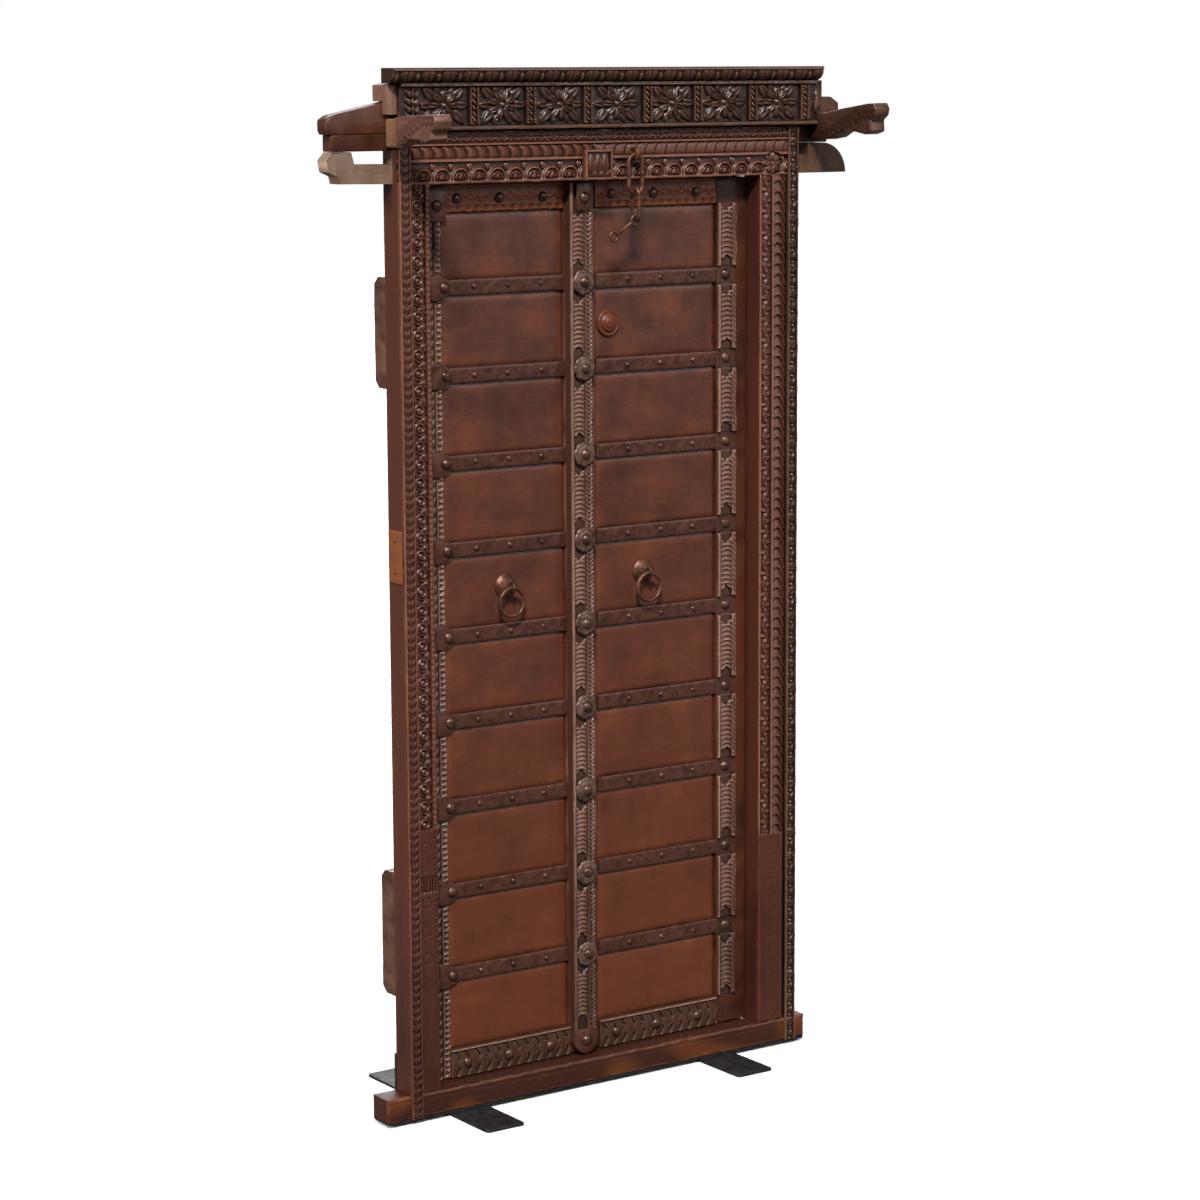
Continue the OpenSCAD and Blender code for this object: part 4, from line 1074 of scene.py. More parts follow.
@dataclass
class Cornice:
    """Head beam, cornice rail, back board, carved frieze and its crown."""

    body: str = "frame"
    panel_centres: tuple[float, ...] = (-398, -260, -120, 21, 161, 296, 436)
    post_centres: tuple[float, ...] = (-327, -191, -51, 99, 228, 372, 512)
    lump_pitch: float = 49.0

    def frieze_rule(self, u: Field, v: Field) -> tuple[Field, Field]:
        """Rosettes in sunk panels between twisted posts, over a thin fillet."""
        y = v - float(v.min())
        mid = 48.0
        high = np.zeros_like(u)
        for k, centre in enumerate(self.panel_centres):
            x = u - centre
            near = np.abs(x) < 58
            flower = rosette(x, 1.1 * (y - mid), 36.0, 8, 0.3 * (k % 3))
            for sx in (-1, 1):
                for sy in (-1, 1):
                    turn = math.degrees(math.atan2(sy, sx))
                    flower = np.maximum(flower, 0.9 * leaf(x - 35 * sx, y - mid - 24 * sy, 19.0, 10.5, turn))
                flower = np.maximum(flower, 0.85 * leaf(x - 44 * sx, y - mid, 15.0, 9.0, 90 - 90 * sx))
                flower = np.maximum(flower, 0.8 * leaf(x - 16 * sx, y - mid - 29, 12.0, 5.5, 90 - 30 * sx))
                flower = np.maximum(flower, 0.8 * leaf(x - 16 * sx, y - mid + 29, 12.0, 5.5, -90 + 30 * sx))
            high = np.where(near, np.maximum(high, flower), high)
        for centre in self.post_centres:
            x = u - centre
            twist = rope(x, y, 12.0, 0.9, 10.0)
            ribs = np.where((np.abs(np.abs(x) - 8.5) < 2.2), 0.85 + 0.15 * np.cos(2 * math.pi * y / 6.0), 0.0)
            high = np.where(np.abs(x) < 12, np.maximum(twist, ribs), high)
        tree = np.zeros_like(u)
        for k in range(4):
            for side in (-1, 1):
                tree = np.maximum(tree, leaf(u + 470 - 8 * side, y - 26 - 15 * k, 10.0, 4.5, 90 - 42 * side))
        high = np.where(u < -452, np.maximum(tree, 0.7 * np.exp(-((u + 470) / 1.5) ** 2)), high)
        lumps = leaf(repeat(u, 26.0), y - 46, 24.0, 9.0, 90)
        high = np.where(u > 526, lumps, high)
        rails = (y < 6) | (y > 86)
        high = np.where(rails, 0.92, high)
        groove = (np.abs(y - 7) < 1.2) | (np.abs(y - 85) < 1.2)
        high = np.where(groove, 0.1, high)
        depth = 9.5 * (1 - high) + 0.4 * wander(u, v, 30, 91)
        return np.clip(depth, 0, 10), np.where(rails, 0.4, 0.0)

    def crown_rule(self, u: Field, v: Field) -> tuple[Field, Field]:
        """Leaf lumps in a row under a nosing, cut from a sloping board, toned lighter on the lumps and darker
        between them as painted highlight and shade.
        """
        y = v - float(v.min())
        lump = bump_at(repeat(u, self.lump_pitch), y - 15, 19, 15) \
            * (1 - 0.4 * np.exp(-(repeat(u, self.lump_pitch) / 2.5) ** 2))
        small = 0.7 * bump_at(repeat(u - 0.5 * self.lump_pitch, self.lump_pitch), y - 10, 6, 9)
        side = 0.25 * np.abs(np.sin(math.pi * (repeat(u, self.lump_pitch)) / 9.5)) * (lump > 0)
        high = np.maximum(np.maximum(lump * (0.7 + 0.3 * side), small), 0)
        slope = 17.0 * np.clip(1 - y / 20.0, 0, 1) ** 1.3
        nose = np.where(y > 23, 2.5 * ((y - 23) / 9.0) ** 2, 0)
        # Painted highlight and shade: the tone rises with the height of the lumps.
        return slope * (1 - 0.7 * high) + 6.5 * (1 - high) * (y < 24) + nose, 0.2 + 0.6 * high

    def build(self) -> None:
        """Build and dress the cornice."""
        black = BLACK_WOOD.material(Grain.ALONG_X)
        lo, hi = corners("frieze_board")
        dress(relief_board("frieze_board_carved", lo,
                           (corners("right_bracket")[0][0] - 0.002, hi[1], hi[2]), 1.9,
                           self.frieze_rule, rounding=1.5, seed=97), black, self.body,
              ["frieze_board"])
        ear = worn_copy("frieze_board", "frieze_right_ear", 1.5, 30, 0.8, 99, keep_behind=lo[1] + 0.010)
        dress(ear, black_plain(), self.body, ["frieze_board"])
        lo, hi = corners("cornice_crown")
        dress(relief_board("cornice_crown_carved", lo, hi, 1.9, self.crown_rule, rounding=1.5, seed=101),
              black, self.body, ["cornice_crown"])
        plain = RED_WOOD.material(Grain.ALONG_X)
        dress(worn_copy("head_beam", "head_beam_worn", 2.5, 22, 1.5, 103), plain, self.body,
              ["head_beam"])
        scar = worn_copy("cornice_rail", "cornice_rail_worn", 3.0, 16, 1.8, 107, tone_at=self.rail_tone)
        dress(scar, RED_WOOD.material(Grain.ALONG_X), self.body, ["cornice_rail"])
        raw = worn_copy("back_board", "back_board_worn", 2.0, 8, 1.5, 109, tone_at=self.board_tone)
        dress(raw, RAW_WOOD.material(Grain.ALONG_X), self.body, ["back_board"])

    @staticmethod
    def rail_tone(place: Vector) -> float:
        """Orange-red scar where the left horn's dark skin has gone."""
        return math.exp(-((place.x + 0.56) / 0.03) ** 2 - ((place.z - 2.045) / 0.014) ** 2)

    @staticmethod
    def board_tone(place: Vector) -> float:
        """Raw yellow wood at the left end."""
        return 0.8 * math.exp(-((place.z - 2.09) / 0.014) ** 2) if place.x < -0.5 and place.y < -0.05 else 0.0


def black_plain() -> bpy.types.Material:
    """Black-brown wood for pieces cut along X."""
    return BLACK_WOOD.material(Grain.ALONG_X)


@dataclass
class Brackets:
    """Two bracket heads that stand out in front of the frieze's ends."""

    body: str = "frame"
    notch_pitch: float = 15.0

    def build(self) -> None:
        """Build and dress both heads."""
        raw, dark = (finish.material(Grain.ALONG_Y) for finish in (RAW_WOOD, BLACK_WOOD))
        for node, finish in (("left_bracket", raw), ("right_bracket", dark)):
            piece = worn_copy(node, f"{node}_carved", 3.0, 4.0, 1.2, 113, tone_at=self.split_tone)
            self.carve_sides(piece)
            dress(piece, finish, self.body, [node])

    @staticmethod
    def split_tone(place: Vector) -> float:
        """Raw yellow wood on the left head's split root."""
        at_root = place.x < -0.51 and place.y > -0.125
        return 0.85 * math.exp(-((place.z - 2.034) / 0.022) ** 2) if at_root else 0.0

    def carve_sides(self, piece: bpy.types.Object) -> None:
        """Cut a rising row of crescent notches and a mouth line into both sides of a head, and paint the cuts
        darker as painted shade.
        """
        bm = bmesh.new()
        bm.from_mesh(piece.data)
        low = min(v.co.z for v in bm.verts)
        high = max(v.co.z for v in bm.verts)
        count = 16
        for k in range(1, count):
            bmesh.ops.bisect_plane(bm, geom=bm.verts[:] + bm.edges[:] + bm.faces[:],
                                   plane_co=(0, 0, low + k * (high - low) / count), plane_no=(0, 0, 1))
        bm.normal_update()
        layer = bm.verts.layers.float["worn"]
        front = min(v.co.y for v in bm.verts)
        for vert in bm.verts:
            if abs(vert.normal.x) < 0.6:
                continue
            y = (vert.co.y - front) / MM
            z = (vert.co.z - low) / MM
            line = 52 - 0.42 * max(0.0, y - 50)
            part = (y / self.notch_pitch) % 1.0
            sag = 9 * math.sin(math.pi * part)
            cut = math.exp(-((z - line + sag) / 3.2) ** 2) * (10 < y < 172)
            groove = 0.7 * math.exp(-((z - line - 5) / 2.2) ** 2) * (y > 10)
            border = 0.6 * math.exp(-((z - line - 14) / 2.0) ** 2) * (y > 60)
            deep = max(cut, groove, border)
            vert.co.x -= math.copysign(4.0 * deep * MM, vert.normal.x)
            # Painted shade: the deeper the cut, the darker the colour value.
            vert[layer] = min(1.0, max(0.0, 0.66 - 0.62 * deep))
        bm.to_mesh(piece.data)
        bm.free()


@dataclass
class Base:
    """The sill, the rear rails and the black steel stand."""

    body: str = "frame"

    def sill_rule(self, u: Field, v: Field) -> tuple[Field, Field]:
        """A plain face with a fine ridge line near its top."""
        y = v - float(v.min())
        line = 1.3 * np.exp(-((y - 40) / 1.2) ** 2) + 0.8 * np.exp(-((y - 8) / 1.0) ** 2)
        dents = 1.0 * np.clip(wander(u, 3 * v, 75, 121) - 0.8, 0, 1) * 3
        scuff = np.clip(wander(u, v, 140, 122), 0, 1) * 0.6
        return line + dents, scuff

    def build(self) -> None:
        """Build and dress the lower pieces."""
        lo, hi = corners("sill")
        warm = WARM_WOOD.material(Grain.ALONG_X)
        dress(relief_board("sill_worn", lo, hi, 3.6, self.sill_rule, rounding=4.5, seed=123,
                           rough_side=1.5), warm,
              self.body, ["sill"])
        plain = JAMB_WOOD.material(Grain.ALONG_X)
        for node in ("sill_rear_rail", "lintel_rear_rail"):
            dress(worn_copy(node, f"{node}_worn", 2.5, 40, 1.2, 127), plain, self.body, [node])
        for node in ("stand_base_bar", "stand_left_foot", "stand_right_foot", "stand_uprights"):
            dress(worn_copy(node, f"{node}_edged", 0.8, 60, 0.1, 131), BLACK_STEEL.material(), self.body,
                  [node])
        repaint("stand_screws", BLACK_STEEL.material())


# ---------------------------------------------------------------- the leaves


@dataclass
class Units:
    """Small units that geometry nodes copy."""

    head: bpy.types.Object
    big_head: bpy.types.Object
    disc: bpy.types.Object

    @classmethod
    def make(cls) -> "Units":
        """Make the rivet heads and the lobed disc."""
        head = disc_unit("rivet_head", 6.6, lambda r, a: 4.0 * np.sqrt(np.clip(1 - r * r, 0, 1)) - 0.2,
                         None, 4, 14)
        big = disc_unit("stud_head", 12.2, lambda r, a: 8.4 * np.sqrt(np.clip(1 - 0.96 * r * r, 0, 1)) - 1.2,
                        lambda a: 1 + 0.04 * np.cos(6 * a), 5, 18)
        disc = disc_unit("lobed_disc", 27.0,
                         lambda r, a: np.where(r > 0.9, 3.0 - 12 * (r - 0.9), 3.0 + 3.8 * (1 - r * r)
                                               - 0.9 * np.exp(-((r - 0.72) / 0.05) ** 2)),
                         lambda a: 1 - 0.085 * (1 - np.abs(np.cos(4 * a)) ** 0.5), 16, 64)
        return cls(head, big, disc)


@dataclass
class Leaf:
    """What both leaves share: cushioned panels, straps, rivets, rails and ledges."""

    side: str
    body: str
    copies: CopyRows
    units: Units
    strap_count: int = 9

    def strap_heights(self) -> tuple[float, float]:
        """Height of the lowest strap and the pitch of the straps, in metres."""
        lo, hi = corners(f"{self.side}_straps")
        height = self.strap_height()
        pitch = (hi[2] - lo[2] - height) / (self.strap_count - 1)
        return float(lo[2] + 0.5 * height), float(pitch)

    @staticmethod
    def strap_height() -> float:
        """Height of one strap in metres."""
        return 0.031

    def panel_rule(self, u: Field, v: Field) -> tuple[Field, Field]:
        """Cushioned panels between the straps, warmer in tone towards the foot."""
        start, pitch = self.strap_heights()
        x0, x1 = float(u.min()), float(u.max())
        edge = np.minimum(u - x0, x1 - u)
        w = np.abs(repeat(v - start / MM, pitch / MM))
        gap = w - 0.5 * self.strap_height() / MM
        inside = np.minimum(edge, np.where((v > start / MM - 160), gap, 99))
        inside = np.minimum(inside, np.minimum(v - float(v.min()), float(v.max()) - v))
        inside = inside + 0.8 * wander(u, v, 40, 141)
        edge_drop = 3.6 * np.exp(-np.clip(inside, 0, None) / 4.5)
        swell = 0.5 * (1 + wander(u, v, 120, 143)) * 0.6
        height = (v - float(v.min())) / (float(v.max()) - float(v.min()))
        tone = np.clip(0.1 + 1.05 * height, 0, 1)
        return np.clip(edge_drop + swell, 0, 4), tone

    def rail_rule(self, u: Field, v: Field) -> tuple[Field, Field]:
        """A rail carved over its whole height with overlapping leaves, under a rubbed edge."""
        a = v - float(v.min())
        tall = float(v.max() - v.min())

        def leaves(x: Field, t: Field) -> Field:
            lobes = scales(x + 3, t, 25.0, 13.0, tall)
            veins = 0.16 * np.abs(np.sin(math.pi * (t + 0.8 * np.abs(x)) / 6.0))
            return np.maximum(lobes - veins, 0.85 * foliage(x, t, 50.0, tall - 8))

        return carve([Band(0, tall - 4, 4.6, leaves, 0.0), Band(tall - 4, tall, 0.8, None, 0.2)], a, u, 149)

    def top_rule(self, u: Field, v: Field) -> tuple[Field, Field]:
        """A top rail with a scroll edge along its foot."""
        a = v - float(v.min())
        tall = float(v.max() - v.min())
        return carve([Band(0, 12, 3.0, lambda x, t: np.abs(np.sin(math.pi * t / 22.0)) ** 0.6, 0.3),
                      Band(12, 16, 0.8, None, 0.4),
                      Band(16, tall - 5, 3.0, lambda x, t: 0.5 + 0.5 * foliage(x, t, 48.0, tall - 22), 0.05),
                      Band(tall - 5, tall, 0.5, None, 0.3)], a, u, 151)

    def strap_rule(self, u: Field, v: Field) -> tuple[Field, Field]:
        """A hammered strap with rolled edges."""
        a = np.abs(v - 0.5 * float(v.min() + v.max()))
        rolled = 1.2 * np.clip((a - 12.5) / 3.0, 0, 1) ** 2
        groove = 0.5 * np.exp(-((a - 10.5) / 0.9) ** 2)
        return rolled + groove + 0.35 * (1 + wander(u, v, 14, 153)), 0 * u

    def build_shared(self) -> None:
        """Build panels, straps, rivets, rails and ledges."""
        lo, hi = corners(f"{self.side}_panel_board")
        wood = PANEL_WOOD.material(Grain.ALONG_X)
        dress(relief_board(f"{self.side}_panels", lo, hi, 5.2, self.panel_rule, rounding=0, seed=157), wood,
              self.body, [f"{self.side}_panel_board"])
        start, pitch = self.strap_heights()
        lo, hi = corners(f"{self.side}_straps")
        unit = relief_board("strap_unit", (lo[0], lo[1], -0.5 * self.strap_height()),
                            (hi[0], hi[1] - 0.0002, 0.5 * self.strap_height()), 3.2, self.strap_rule,
                            rounding=1.2, seed=159)
        straps = self.copies.make(f"{self.side}_straps_forged", unit, STRAP_IRON.material(), (0, 0, start),
                                  (self.strap_count, (0, 0, pitch)))
        drop(unit)
        dress(straps, STRAP_IRON.material(), self.body, [f"{self.side}_straps"])
        panel_lo, panel_hi = corners(f"{self.side}_panel_board")
        span = panel_hi[0] - panel_lo[0]
        first = panel_lo[0] + 0.26 * span
        rivets = self.copies.make(f"{self.side}_strap_rivet_heads", self.units.head, RIVET_IRON.material(),
                                  (first, lo[1], start), (self.strap_count, (0, 0, pitch)),
                                  (3, (0.27 * span, 0, 0)), 0.0012, 0.6, 0.12, 7)
        dress(rivets, RIVET_IRON.material(), self.body, [f"{self.side}_strap_rivets"])
        dark = JAMB_WOOD.material(Grain.ALONG_X)
        red = RAIL_WOOD.material(Grain.ALONG_X)
        for place, rule, finish in (("top", self.top_rule, red),
                                    ("bottom", self.rail_rule, GREY_WOOD.material(Grain.ALONG_X))):
            node = f"{self.side}_{place}_rail"
            lo, hi = corners(node)
            dress(relief_board(f"{node}_carved", lo, hi, 1.6, rule, seed=163), finish, self.body,
                  [node])
        self.build_rail_studs(first, span)
        dress(worn_copy(f"{self.side}_back_ledges", f"{self.side}_ledges_worn", 3.0, 45, 1.5, 167), dark,
              self.body, [f"{self.side}_back_ledges"])

    def build_rail_studs(self, first: float, span: float) -> None:
        """Set round studs along the top and bottom rails.

        Args:
            first: Place of the first strap rivet, in metres.
            span: Width of the panels, in metres.
        """
        parts = []
        for place, height in (("top", 0.028), ("bottom", 0.030)):
            lo, _ = corners(f"{self.side}_{place}_rail")
            parts.append(self.copies.make(f"{place}_studs", self.units.big_head, RIVET_IRON.material(),
                                          (first - 0.12 * span, lo[1] + 0.0015, lo[2] + height),
                                          (3, (0.34 * span, 0, 0)), jitter=0.003, spin=0.5, spread=0.1,
                                          seed=23))
        piece = join(f"{self.side}_rail_studs", parts)
        dress(piece, RIVET_IRON.material(), self.body)

    def build_pull(self) -> None:
        """Build the domed plate, the eye and the ring of this leaf's pull."""
        iron = RUST_IRON.material()
        for part, slot, body in (("pull_dome", "dark_iron", self.body), ("pull_eye", "rusty_iron", self.body),
                                 ("ring", "rusty_iron", f"{self.side}_pull_ring")):
            node = f"{self.side}_{part}"
            dress(forged_copy(node, f"{node}_forged", 0.6, 12.0, 171), iron, body, [node])

    def heads_at(self, name: str, unit: bpy.types.Object, node: str,
                 places: Sequence[tuple[int, Sequence[float], float]],
                 ) -> bpy.types.Object:
        """Set studs in columns and join them into one piece.

        Args:
            name: Name of the piece.
            unit: Unit that is copied.
            node: Node the piece stands for.
            places: Count, start and pitch of each column.

        Returns:
            The piece.
        """
        parts = [self.copies.make(f"{name}_{k}", unit, RIVET_IRON.material(), start, (count, (0, 0, pitch)),
                                  jitter=0.0008, spin=0.5, spread=0.08, seed=11 + k)
                 for k, (count, start, pitch) in enumerate(places)]
        piece = join(name, parts)
        return dress(piece, RIVET_IRON.material(), self.body, [node])


def join(name: str, parts: Sequence[bpy.types.Object]) -> bpy.types.Object:
    """Join pieces into one mesh."""
    bm = bmesh.new()
    for part in parts:
        bm.from_mesh(part.data)
    mesh = bpy.data.meshes.new(name)
    bm.to_mesh(mesh)
    bm.free()
    mesh.polygons.foreach_set("use_smooth", [True] * len(mesh.polygons))
    drop(*parts)
    piece = bpy.data.objects.new(name, mesh)
    bpy.context.collection.objects.link(piece)
    return piece


@dataclass
class LeftLeaf(Leaf):
    """The left leaf with its carved hinge stile, meeting stile, discs and plates."""

    def stile_rule(self, u: Field, v: Field) -> tuple[Field, Field]:
        """Fine paired leaves beside a pale zigzag edge."""
        a = u - float(u.min())
        return carve([Band(0, 4, 0.5, None, 0.2),
                      Band(4, 37, 4.6, lambda x, t: np.maximum(
                          leaf(np.abs(x) - 8, repeat(t - 0.5 * np.abs(x), 20.0), 9.5, 5.6, 48),
                          0.8 * np.exp(-(x / 1.6) ** 2)), 0.1),
                      Band(37, 40, 0.6, None, 0.5),
                      Band(40, 52, 3.4, lambda x, t: zigzag(x, t, 12.0, 12.0), 0.35)], a, v, 173)

    def meeting_rule(self, u: Field, v: Field) -> tuple[Field, Field]:
        """Pale fillet, stacked arcs with notches at the discs, and a braid."""
        a = u - float(u.min())
        start, pitch = self.strap_heights()
        w = np.abs(repeat(v - start / MM, pitch / MM))
        depth, tone = carve([
            Band(0, 6, 0.6, None, 0.2),
            Band(6, 9, 3.5, lambda x, t: 0 * x),
            Band(9, 33, 4.6, lambda x, t: scales(x, t, 9.6, 4.5, 25.0), 1.0),
            Band(33, 36, 3.5, lambda x, t: 0 * x),
            Band(36, 54, 3.8, lambda x, t: herringbone(x, t, 9.0, 17.0), 0.0)], a, v, 179)
        notch = (w < 46 - 0.9 * np.abs(a - 21)) & (a > 8) & (a < 34)
        depth = np.where(notch, 6.5, depth)
        return depth, np.where(notch, 0.0, tone)

    def build(self) -> None:
        """Build and dress the left leaf."""
        self.build_shared()
        self.build_pull()
        grey = GREY_WOOD.material(Grain.ALONG_Z)
        dark = JAMB_WOOD.material(Grain.ALONG_Z)
        panel_lo, _ = corners("left_panel_board")
        stile_lo, _ = corners("left_hinge_stile")
        skin = stile_lo[1] + 0.008
        core = worn_copy("left_hinge_stile", "left_hinge_stile_core", 1.5, 60, 0.6, 181, keep_behind=skin)
        dress(core, dark, self.body, ["left_hinge_stile"])
        z0, z1 = corners("left_inner_stile")[0][2], corners("left_inner_stile")[1][2]
        face = relief_board("left_hinge_stile_carved", (stile_lo[0], stile_lo[1], z0),
                            (panel_lo[0], skin, z1), 2.0,
                            self.stile_rule, seed=187)
        dress(face, grey, self.body, ["left_hinge_stile"])
        dress(worn_copy("left_inner_stile", "left_inner_stile_worn", 2.0, 45, 0.8, 189), dark, self.body,
              ["left_inner_stile"])
        lo, hi = corners("meeting_stile")
        dress(relief_board("meeting_stile_carved", lo, hi, 1.9, self.meeting_rule, seed=191), grey, self.body,
              ["meeting_stile"])
        self.build_iron(lo, hi)

    def build_iron(self, stile_lo: Field, stile_hi: Field) -> None:
        """Build the discs, plates and studs of the left leaf."""
        start, pitch = self.strap_heights()
        disc_x = float(corners("left_inner_stile")[1][0]) - 0.042
        discs = self.copies.make("lobed_discs", self.units.disc, DISC_IRON.material(),
                                 (disc_x, stile_lo[1], start),
                                 (self.strap_count, (0, 0, pitch)), jitter=0.0008, spin=0.3, spread=0.04,
                                 seed=5)
        plates = worn_copy("meeting_bosses", "cap_and_foot_plates", 1.5, 30, 0.6, 193)
        self.keep_ends(plates, start, pitch)
        dress(discs, DISC_IRON.material(), self.body, ["meeting_bosses"])
        dress(plates, STRAP_IRON.material(), self.body, ["meeting_bosses"])
        top_z, foot_z = stile_hi[2] - 0.032, corners("left_bottom_rail")[0][2] + 0.030
        face = stile_lo[1]
        self.heads_at("disc_studs", self.units.big_head, "boss_rivets",
                      [(self.strap_count, (disc_x, face - 0.0055, start), pitch),
                       (1, (disc_x, face - 0.003, top_z), 0.0),
                       (1, (stile_lo[0] + 0.030, face, foot_z), 0.0)])
        plate_lo, _ = corners("left_stile_plates")
        dress(worn_copy("left_stile_plates", "stile_plates_forged", 1.3, 40, 0.5, 197),
              STRAP_IRON.material(), self.body,
              ["left_stile_plates"])
        panel_lo, _ = corners("left_panel_board")
        self.heads_at("plate_studs", self.units.big_head, "left_plate_rivets",
                      [(self.strap_count, (panel_lo[0] + 0.006, plate_lo[1], start), pitch),
                       (1, (panel_lo[0] - 0.012, plate_lo[1], stile_hi[2] - 0.040), 0.0)])

    def keep_ends(self, piece: bpy.types.Object, start: float, pitch: float) -> None:
        """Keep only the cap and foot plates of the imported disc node."""
        bm = bmesh.new()
        bm.from_mesh(piece.data)
        last = start + (self.strap_count - 1) * pitch
        gone = [v for v in bm.verts if start - 0.03 < v.co.z < last + 0.03]
        bmesh.ops.delete(bm, geom=gone, context="VERTS")
        bm.to_mesh(piece.data)
        bm.free()


@dataclass
class RightLeaf(Leaf):
    """The right leaf with its carved strip, plain hinge stile and turned button."""

    def strip_rule(self, u: Field, v: Field) -> tuple[Field, Field]:
        """Stacked arcs beside a fillet, cut by V notches at the straps."""
        a = u - float(u.min())
        start, pitch = self.strap_heights()
        w = np.abs(repeat(v - start / MM, pitch / MM))
        depth, tone = carve([
            Band(0, 5, 0.6, None, 0.1),
            Band(5, 8, 3.5, lambda x, t: 0 * x),
            Band(8, 36, 5.0, lambda x, t: scales(x, t, 10.4, 5.0, 29.0), 0.6),
            Band(36, 47, 2.6, lambda x, t: np.abs(np.sin(math.pi * (t + x) / 11.0)) ** 0.5, 0.0)], a, v, 199)
        notch = (w < 44 - 0.8 * np.abs(a - 22)) & (a > 7) & (a < 37)
        depth = np.where(notch, 7.0, depth)
        depth = np.where(w < 20.5, 8.6, depth)
        return depth, np.where(notch, 0.0, tone)

    def build(self) -> None:
        """Build and dress the right leaf."""
        self.build_shared()
        self.build_pull()
        grey = GREY_WOOD.material(Grain.ALONG_Z)
        lo, hi = corners("right_carved_strip")
        dress(relief_board("right_strip_carved", lo, hi, 1.85, self.strip_rule, seed=211), grey, self.body,
              ["right_carved_strip"])
        dress(worn_copy("right_hinge_stile", "right_hinge_stile_worn", 0.8, 30, 1.0, 223,
                        tone_at=self.rubbed),
              RED_WOOD.material(Grain.ALONG_Z), self.body, ["right_hinge_stile"])
        start, pitch = self.strap_heights()
        strap_lo, _ = corners("right_straps")
        _, panel_hi = corners("right_panel_board")
        studs = self.copies.make("right_stile_studs", self.units.big_head, RIVET_IRON.material(),
                                 (panel_hi[0] + 0.024, strap_lo[1], start), (self.strap_count, (0, 0, pitch)),
                                 jitter=0.001, spin=0.5, spread=0.1, seed=17)
        dress(studs, RIVET_IRON.material(), self.body, ["right_strap_rivets"])
        self.build_button()

    @staticmethod
    def rubbed(place: Vector) -> float:
        """Orange-red wear on the lower half of the hinge stile."""
        return 0.6 * math.exp(-((place.z - 0.9) / 0.22) ** 2)

    def build_button(self) -> None:
        """The turned wooden button: steps and a domed middle."""
        lo, hi = corners("right_round_boss")

        def profile(r: Field, a: Field) -> Field:
            """Heights of the turned steps."""
            step = np.where(r > 0.93, 5.0 - 60 * (r - 0.93), 5.0)
            ring = 5.0 + 1.6 * np.exp(-((r - 0.86) / 0.06) ** 2)
            dome = 5.0 + 9.0 * np.sqrt(np.clip(1 - (r / 0.68) ** 2, 0, 1)) \
                - 1.2 * np.exp(-((r - 0.42) / 0.05) ** 2)
            return np.maximum(np.minimum(step, 5.0), np.where(r < 0.68, dome, np.where(r < 0.93, ring, step)))

        unit = disc_unit("button_unit", 29.0, profile, None, 28, 56)
        centre = 0.5 * (lo + hi)
        button = self.copies.make("turned_button", unit, PANEL_WOOD.material(Grain.ALONG_X),
                                  (centre[0], hi[1], centre[2]), (1, (0, 0, 0.001)))
        drop(unit)
        dress(button, PANEL_WOOD.material(Grain.ALONG_X), self.body, ["right_round_boss"])


@dataclass
class Chain:
    """The door chain: staple, two links and the hasp."""

    def build(self) -> None:
        """Build and dress the chain's pieces."""
        iron = RUST_IRON.material()
        for node, body in (("chain_staple", "frame"), ("chain_upper_link", "upper_link"),
                           ("chain_lower_link", "lower_link"), ("chain_hasp", "hasp")):
            dress(forged_copy(node, f"{node}_forged", 0.5, 13.0, 227), iron, body, [node])


# ---------------------------------------------------------------- studio


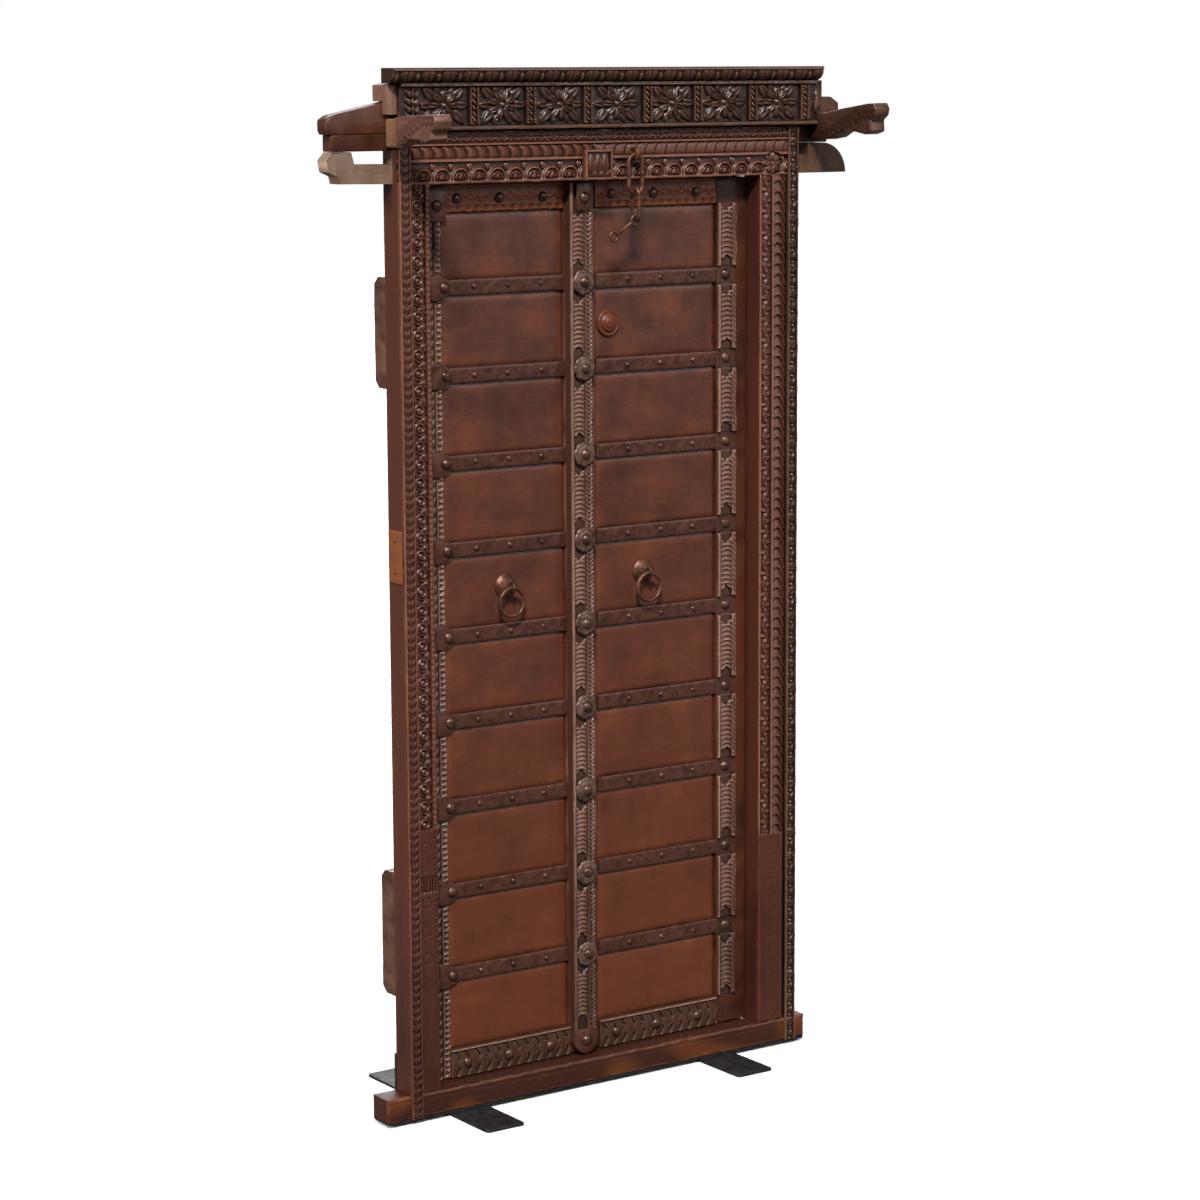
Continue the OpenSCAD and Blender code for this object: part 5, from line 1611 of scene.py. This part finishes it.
@dataclass
class Studio:
    """Plain pale floor, soft lights and the camera."""

    lens_mm: float = 98.62
    yaw: float = -34.81
    pitch: float = 80.845
    roll: float = -0.28
    stand: tuple[float, float, float] = (-3.9069, -5.6597, 2.1514)
    surround: float = 0.1
    # Each sun: name, bearing and height in degrees, strength, and spread in degrees.
    suns: tuple[tuple[str, tuple[float, float], float, float], ...] = (
        ("key", (-34, 44), 4.3, 9), ("side", (-88, 24), 2.5, 16),
        ("front", (12, 25), 0.5, 25), ("back", (150, 40), 1.6, 30))
    sheen_place: tuple[float, float, float] = (3.6, -4.4, 3.2)
    sheen_aim: tuple[float, float, float] = (0, 0, 1.7)
    sheen_size: float = 1.3
    sheen_power: float = 30
    floor_seen: str = "F4F4F4"
    floor_bounce: str = "5A5654"

    def floor(self) -> None:
        """A wide pale floor."""
        size = 30.0
        verts = [(-size, -size, 0), (size, -size, 0), (size, size, 0), (-size, size, 0)]
        plane = mesh_object("floor", np.array(verts), [(0, 1, 2, 3)], smooth=False)
        mat = bpy.data.materials.new("pale_matt_floor")
        mat.use_nodes = True
        shader = mat.node_tree.nodes["Principled BSDF"]
        shader.inputs["Roughness"].default_value = 1.0
        shader.inputs["Specular IOR Level"].default_value = 0.0
        seen = add(mat.node_tree, "ShaderNodeLightPath").outputs["Is Camera Ray"]
        shade = add(mat.node_tree, "ShaderNodeMix", {"data_type": "RGBA", 6: linear(self.floor_bounce),
                                                     7: linear(self.floor_seen)}, {0: seen})
        mat.node_tree.links.new(shade.outputs[2], shader.inputs["Base Color"])
        plane.data.materials.append(mat)

    def lights(self) -> None:
        """A large key on the left, a fill on the right and a bright surround."""
        world = bpy.data.worlds.new("soft_surround")
        bpy.context.scene.world = world
        world.use_nodes = True
        tree = world.node_tree
        seen = add(tree, "ShaderNodeLightPath").outputs["Is Camera Ray"]
        level = add(tree, "ShaderNodeMapRange", {"To Min": self.surround, "To Max": 1.0}, {"Value": seen})
        tree.links.new(level.outputs[0], tree.nodes["Background"].inputs["Strength"])
        tree.nodes["Background"].inputs[0].default_value = (1, 1, 1, 1)
        for name, angles, strength, spread in self.suns:
            sun = bpy.data.lights.new(name, "SUN")
            sun.energy, sun.angle = strength, math.radians(spread)
            lamp = bpy.data.objects.new(name, sun)
            bpy.context.collection.objects.link(lamp)
            azimuth, height = (math.radians(a) for a in angles)
            toward = Vector((math.sin(azimuth) * math.cos(height), -math.cos(azimuth) * math.cos(height),
                             math.sin(height)))
            lamp.rotation_euler = toward.to_track_quat("Z", "Y").to_euler()
        data = bpy.data.lights.new("sheen", "AREA")
        data.shape, data.size, data.energy = "SQUARE", self.sheen_size, self.sheen_power
        lamp = bpy.data.objects.new("sheen", data)
        bpy.context.collection.objects.link(lamp)
        lamp.location = self.sheen_place
        aim = Vector(self.sheen_aim) - Vector(self.sheen_place)
        lamp.rotation_euler = aim.to_track_quat("-Z", "Y").to_euler()

    def camera(self) -> None:
        """The camera, low on the left, looking slightly down."""
        data = bpy.data.cameras.new("camera")
        data.lens, data.sensor_width = self.lens_mm, 36.0
        data.clip_end = 100
        camera = bpy.data.objects.new("camera", data)
        bpy.context.collection.objects.link(camera)
        turn = (Matrix.Rotation(math.radians(self.yaw), 4, "Z")
                @ Matrix.Rotation(math.radians(self.pitch), 4, "X")
                @ Matrix.Rotation(math.radians(self.roll), 4, "Z"))
        camera.matrix_world = Matrix.Translation(self.stand) @ turn
        bpy.context.scene.camera = camera

    def build(self) -> None:
        """Set up the studio."""
        bpy.context.scene.view_settings.view_transform = "Standard"
        self.camera()
        self.floor()
        self.lights()


def main() -> None:
    """Build every sub-assembly."""
    logging.basicConfig(level=logging.INFO, format="%(name)s: %(message)s")
    Studio().build()
    copies = CopyRows()
    units = Units.make()
    Jambs().build()
    Lintel().build()
    Cornice().build()
    Brackets().build()
    Base().build()
    LeftLeaf("left", "left_leaf", copies, units).build()
    RightLeaf("right", "right_leaf", copies, units).build()
    Chain().build()
    drop(units.head, units.big_head, units.disc)


if __name__ == "__main__":
    main()
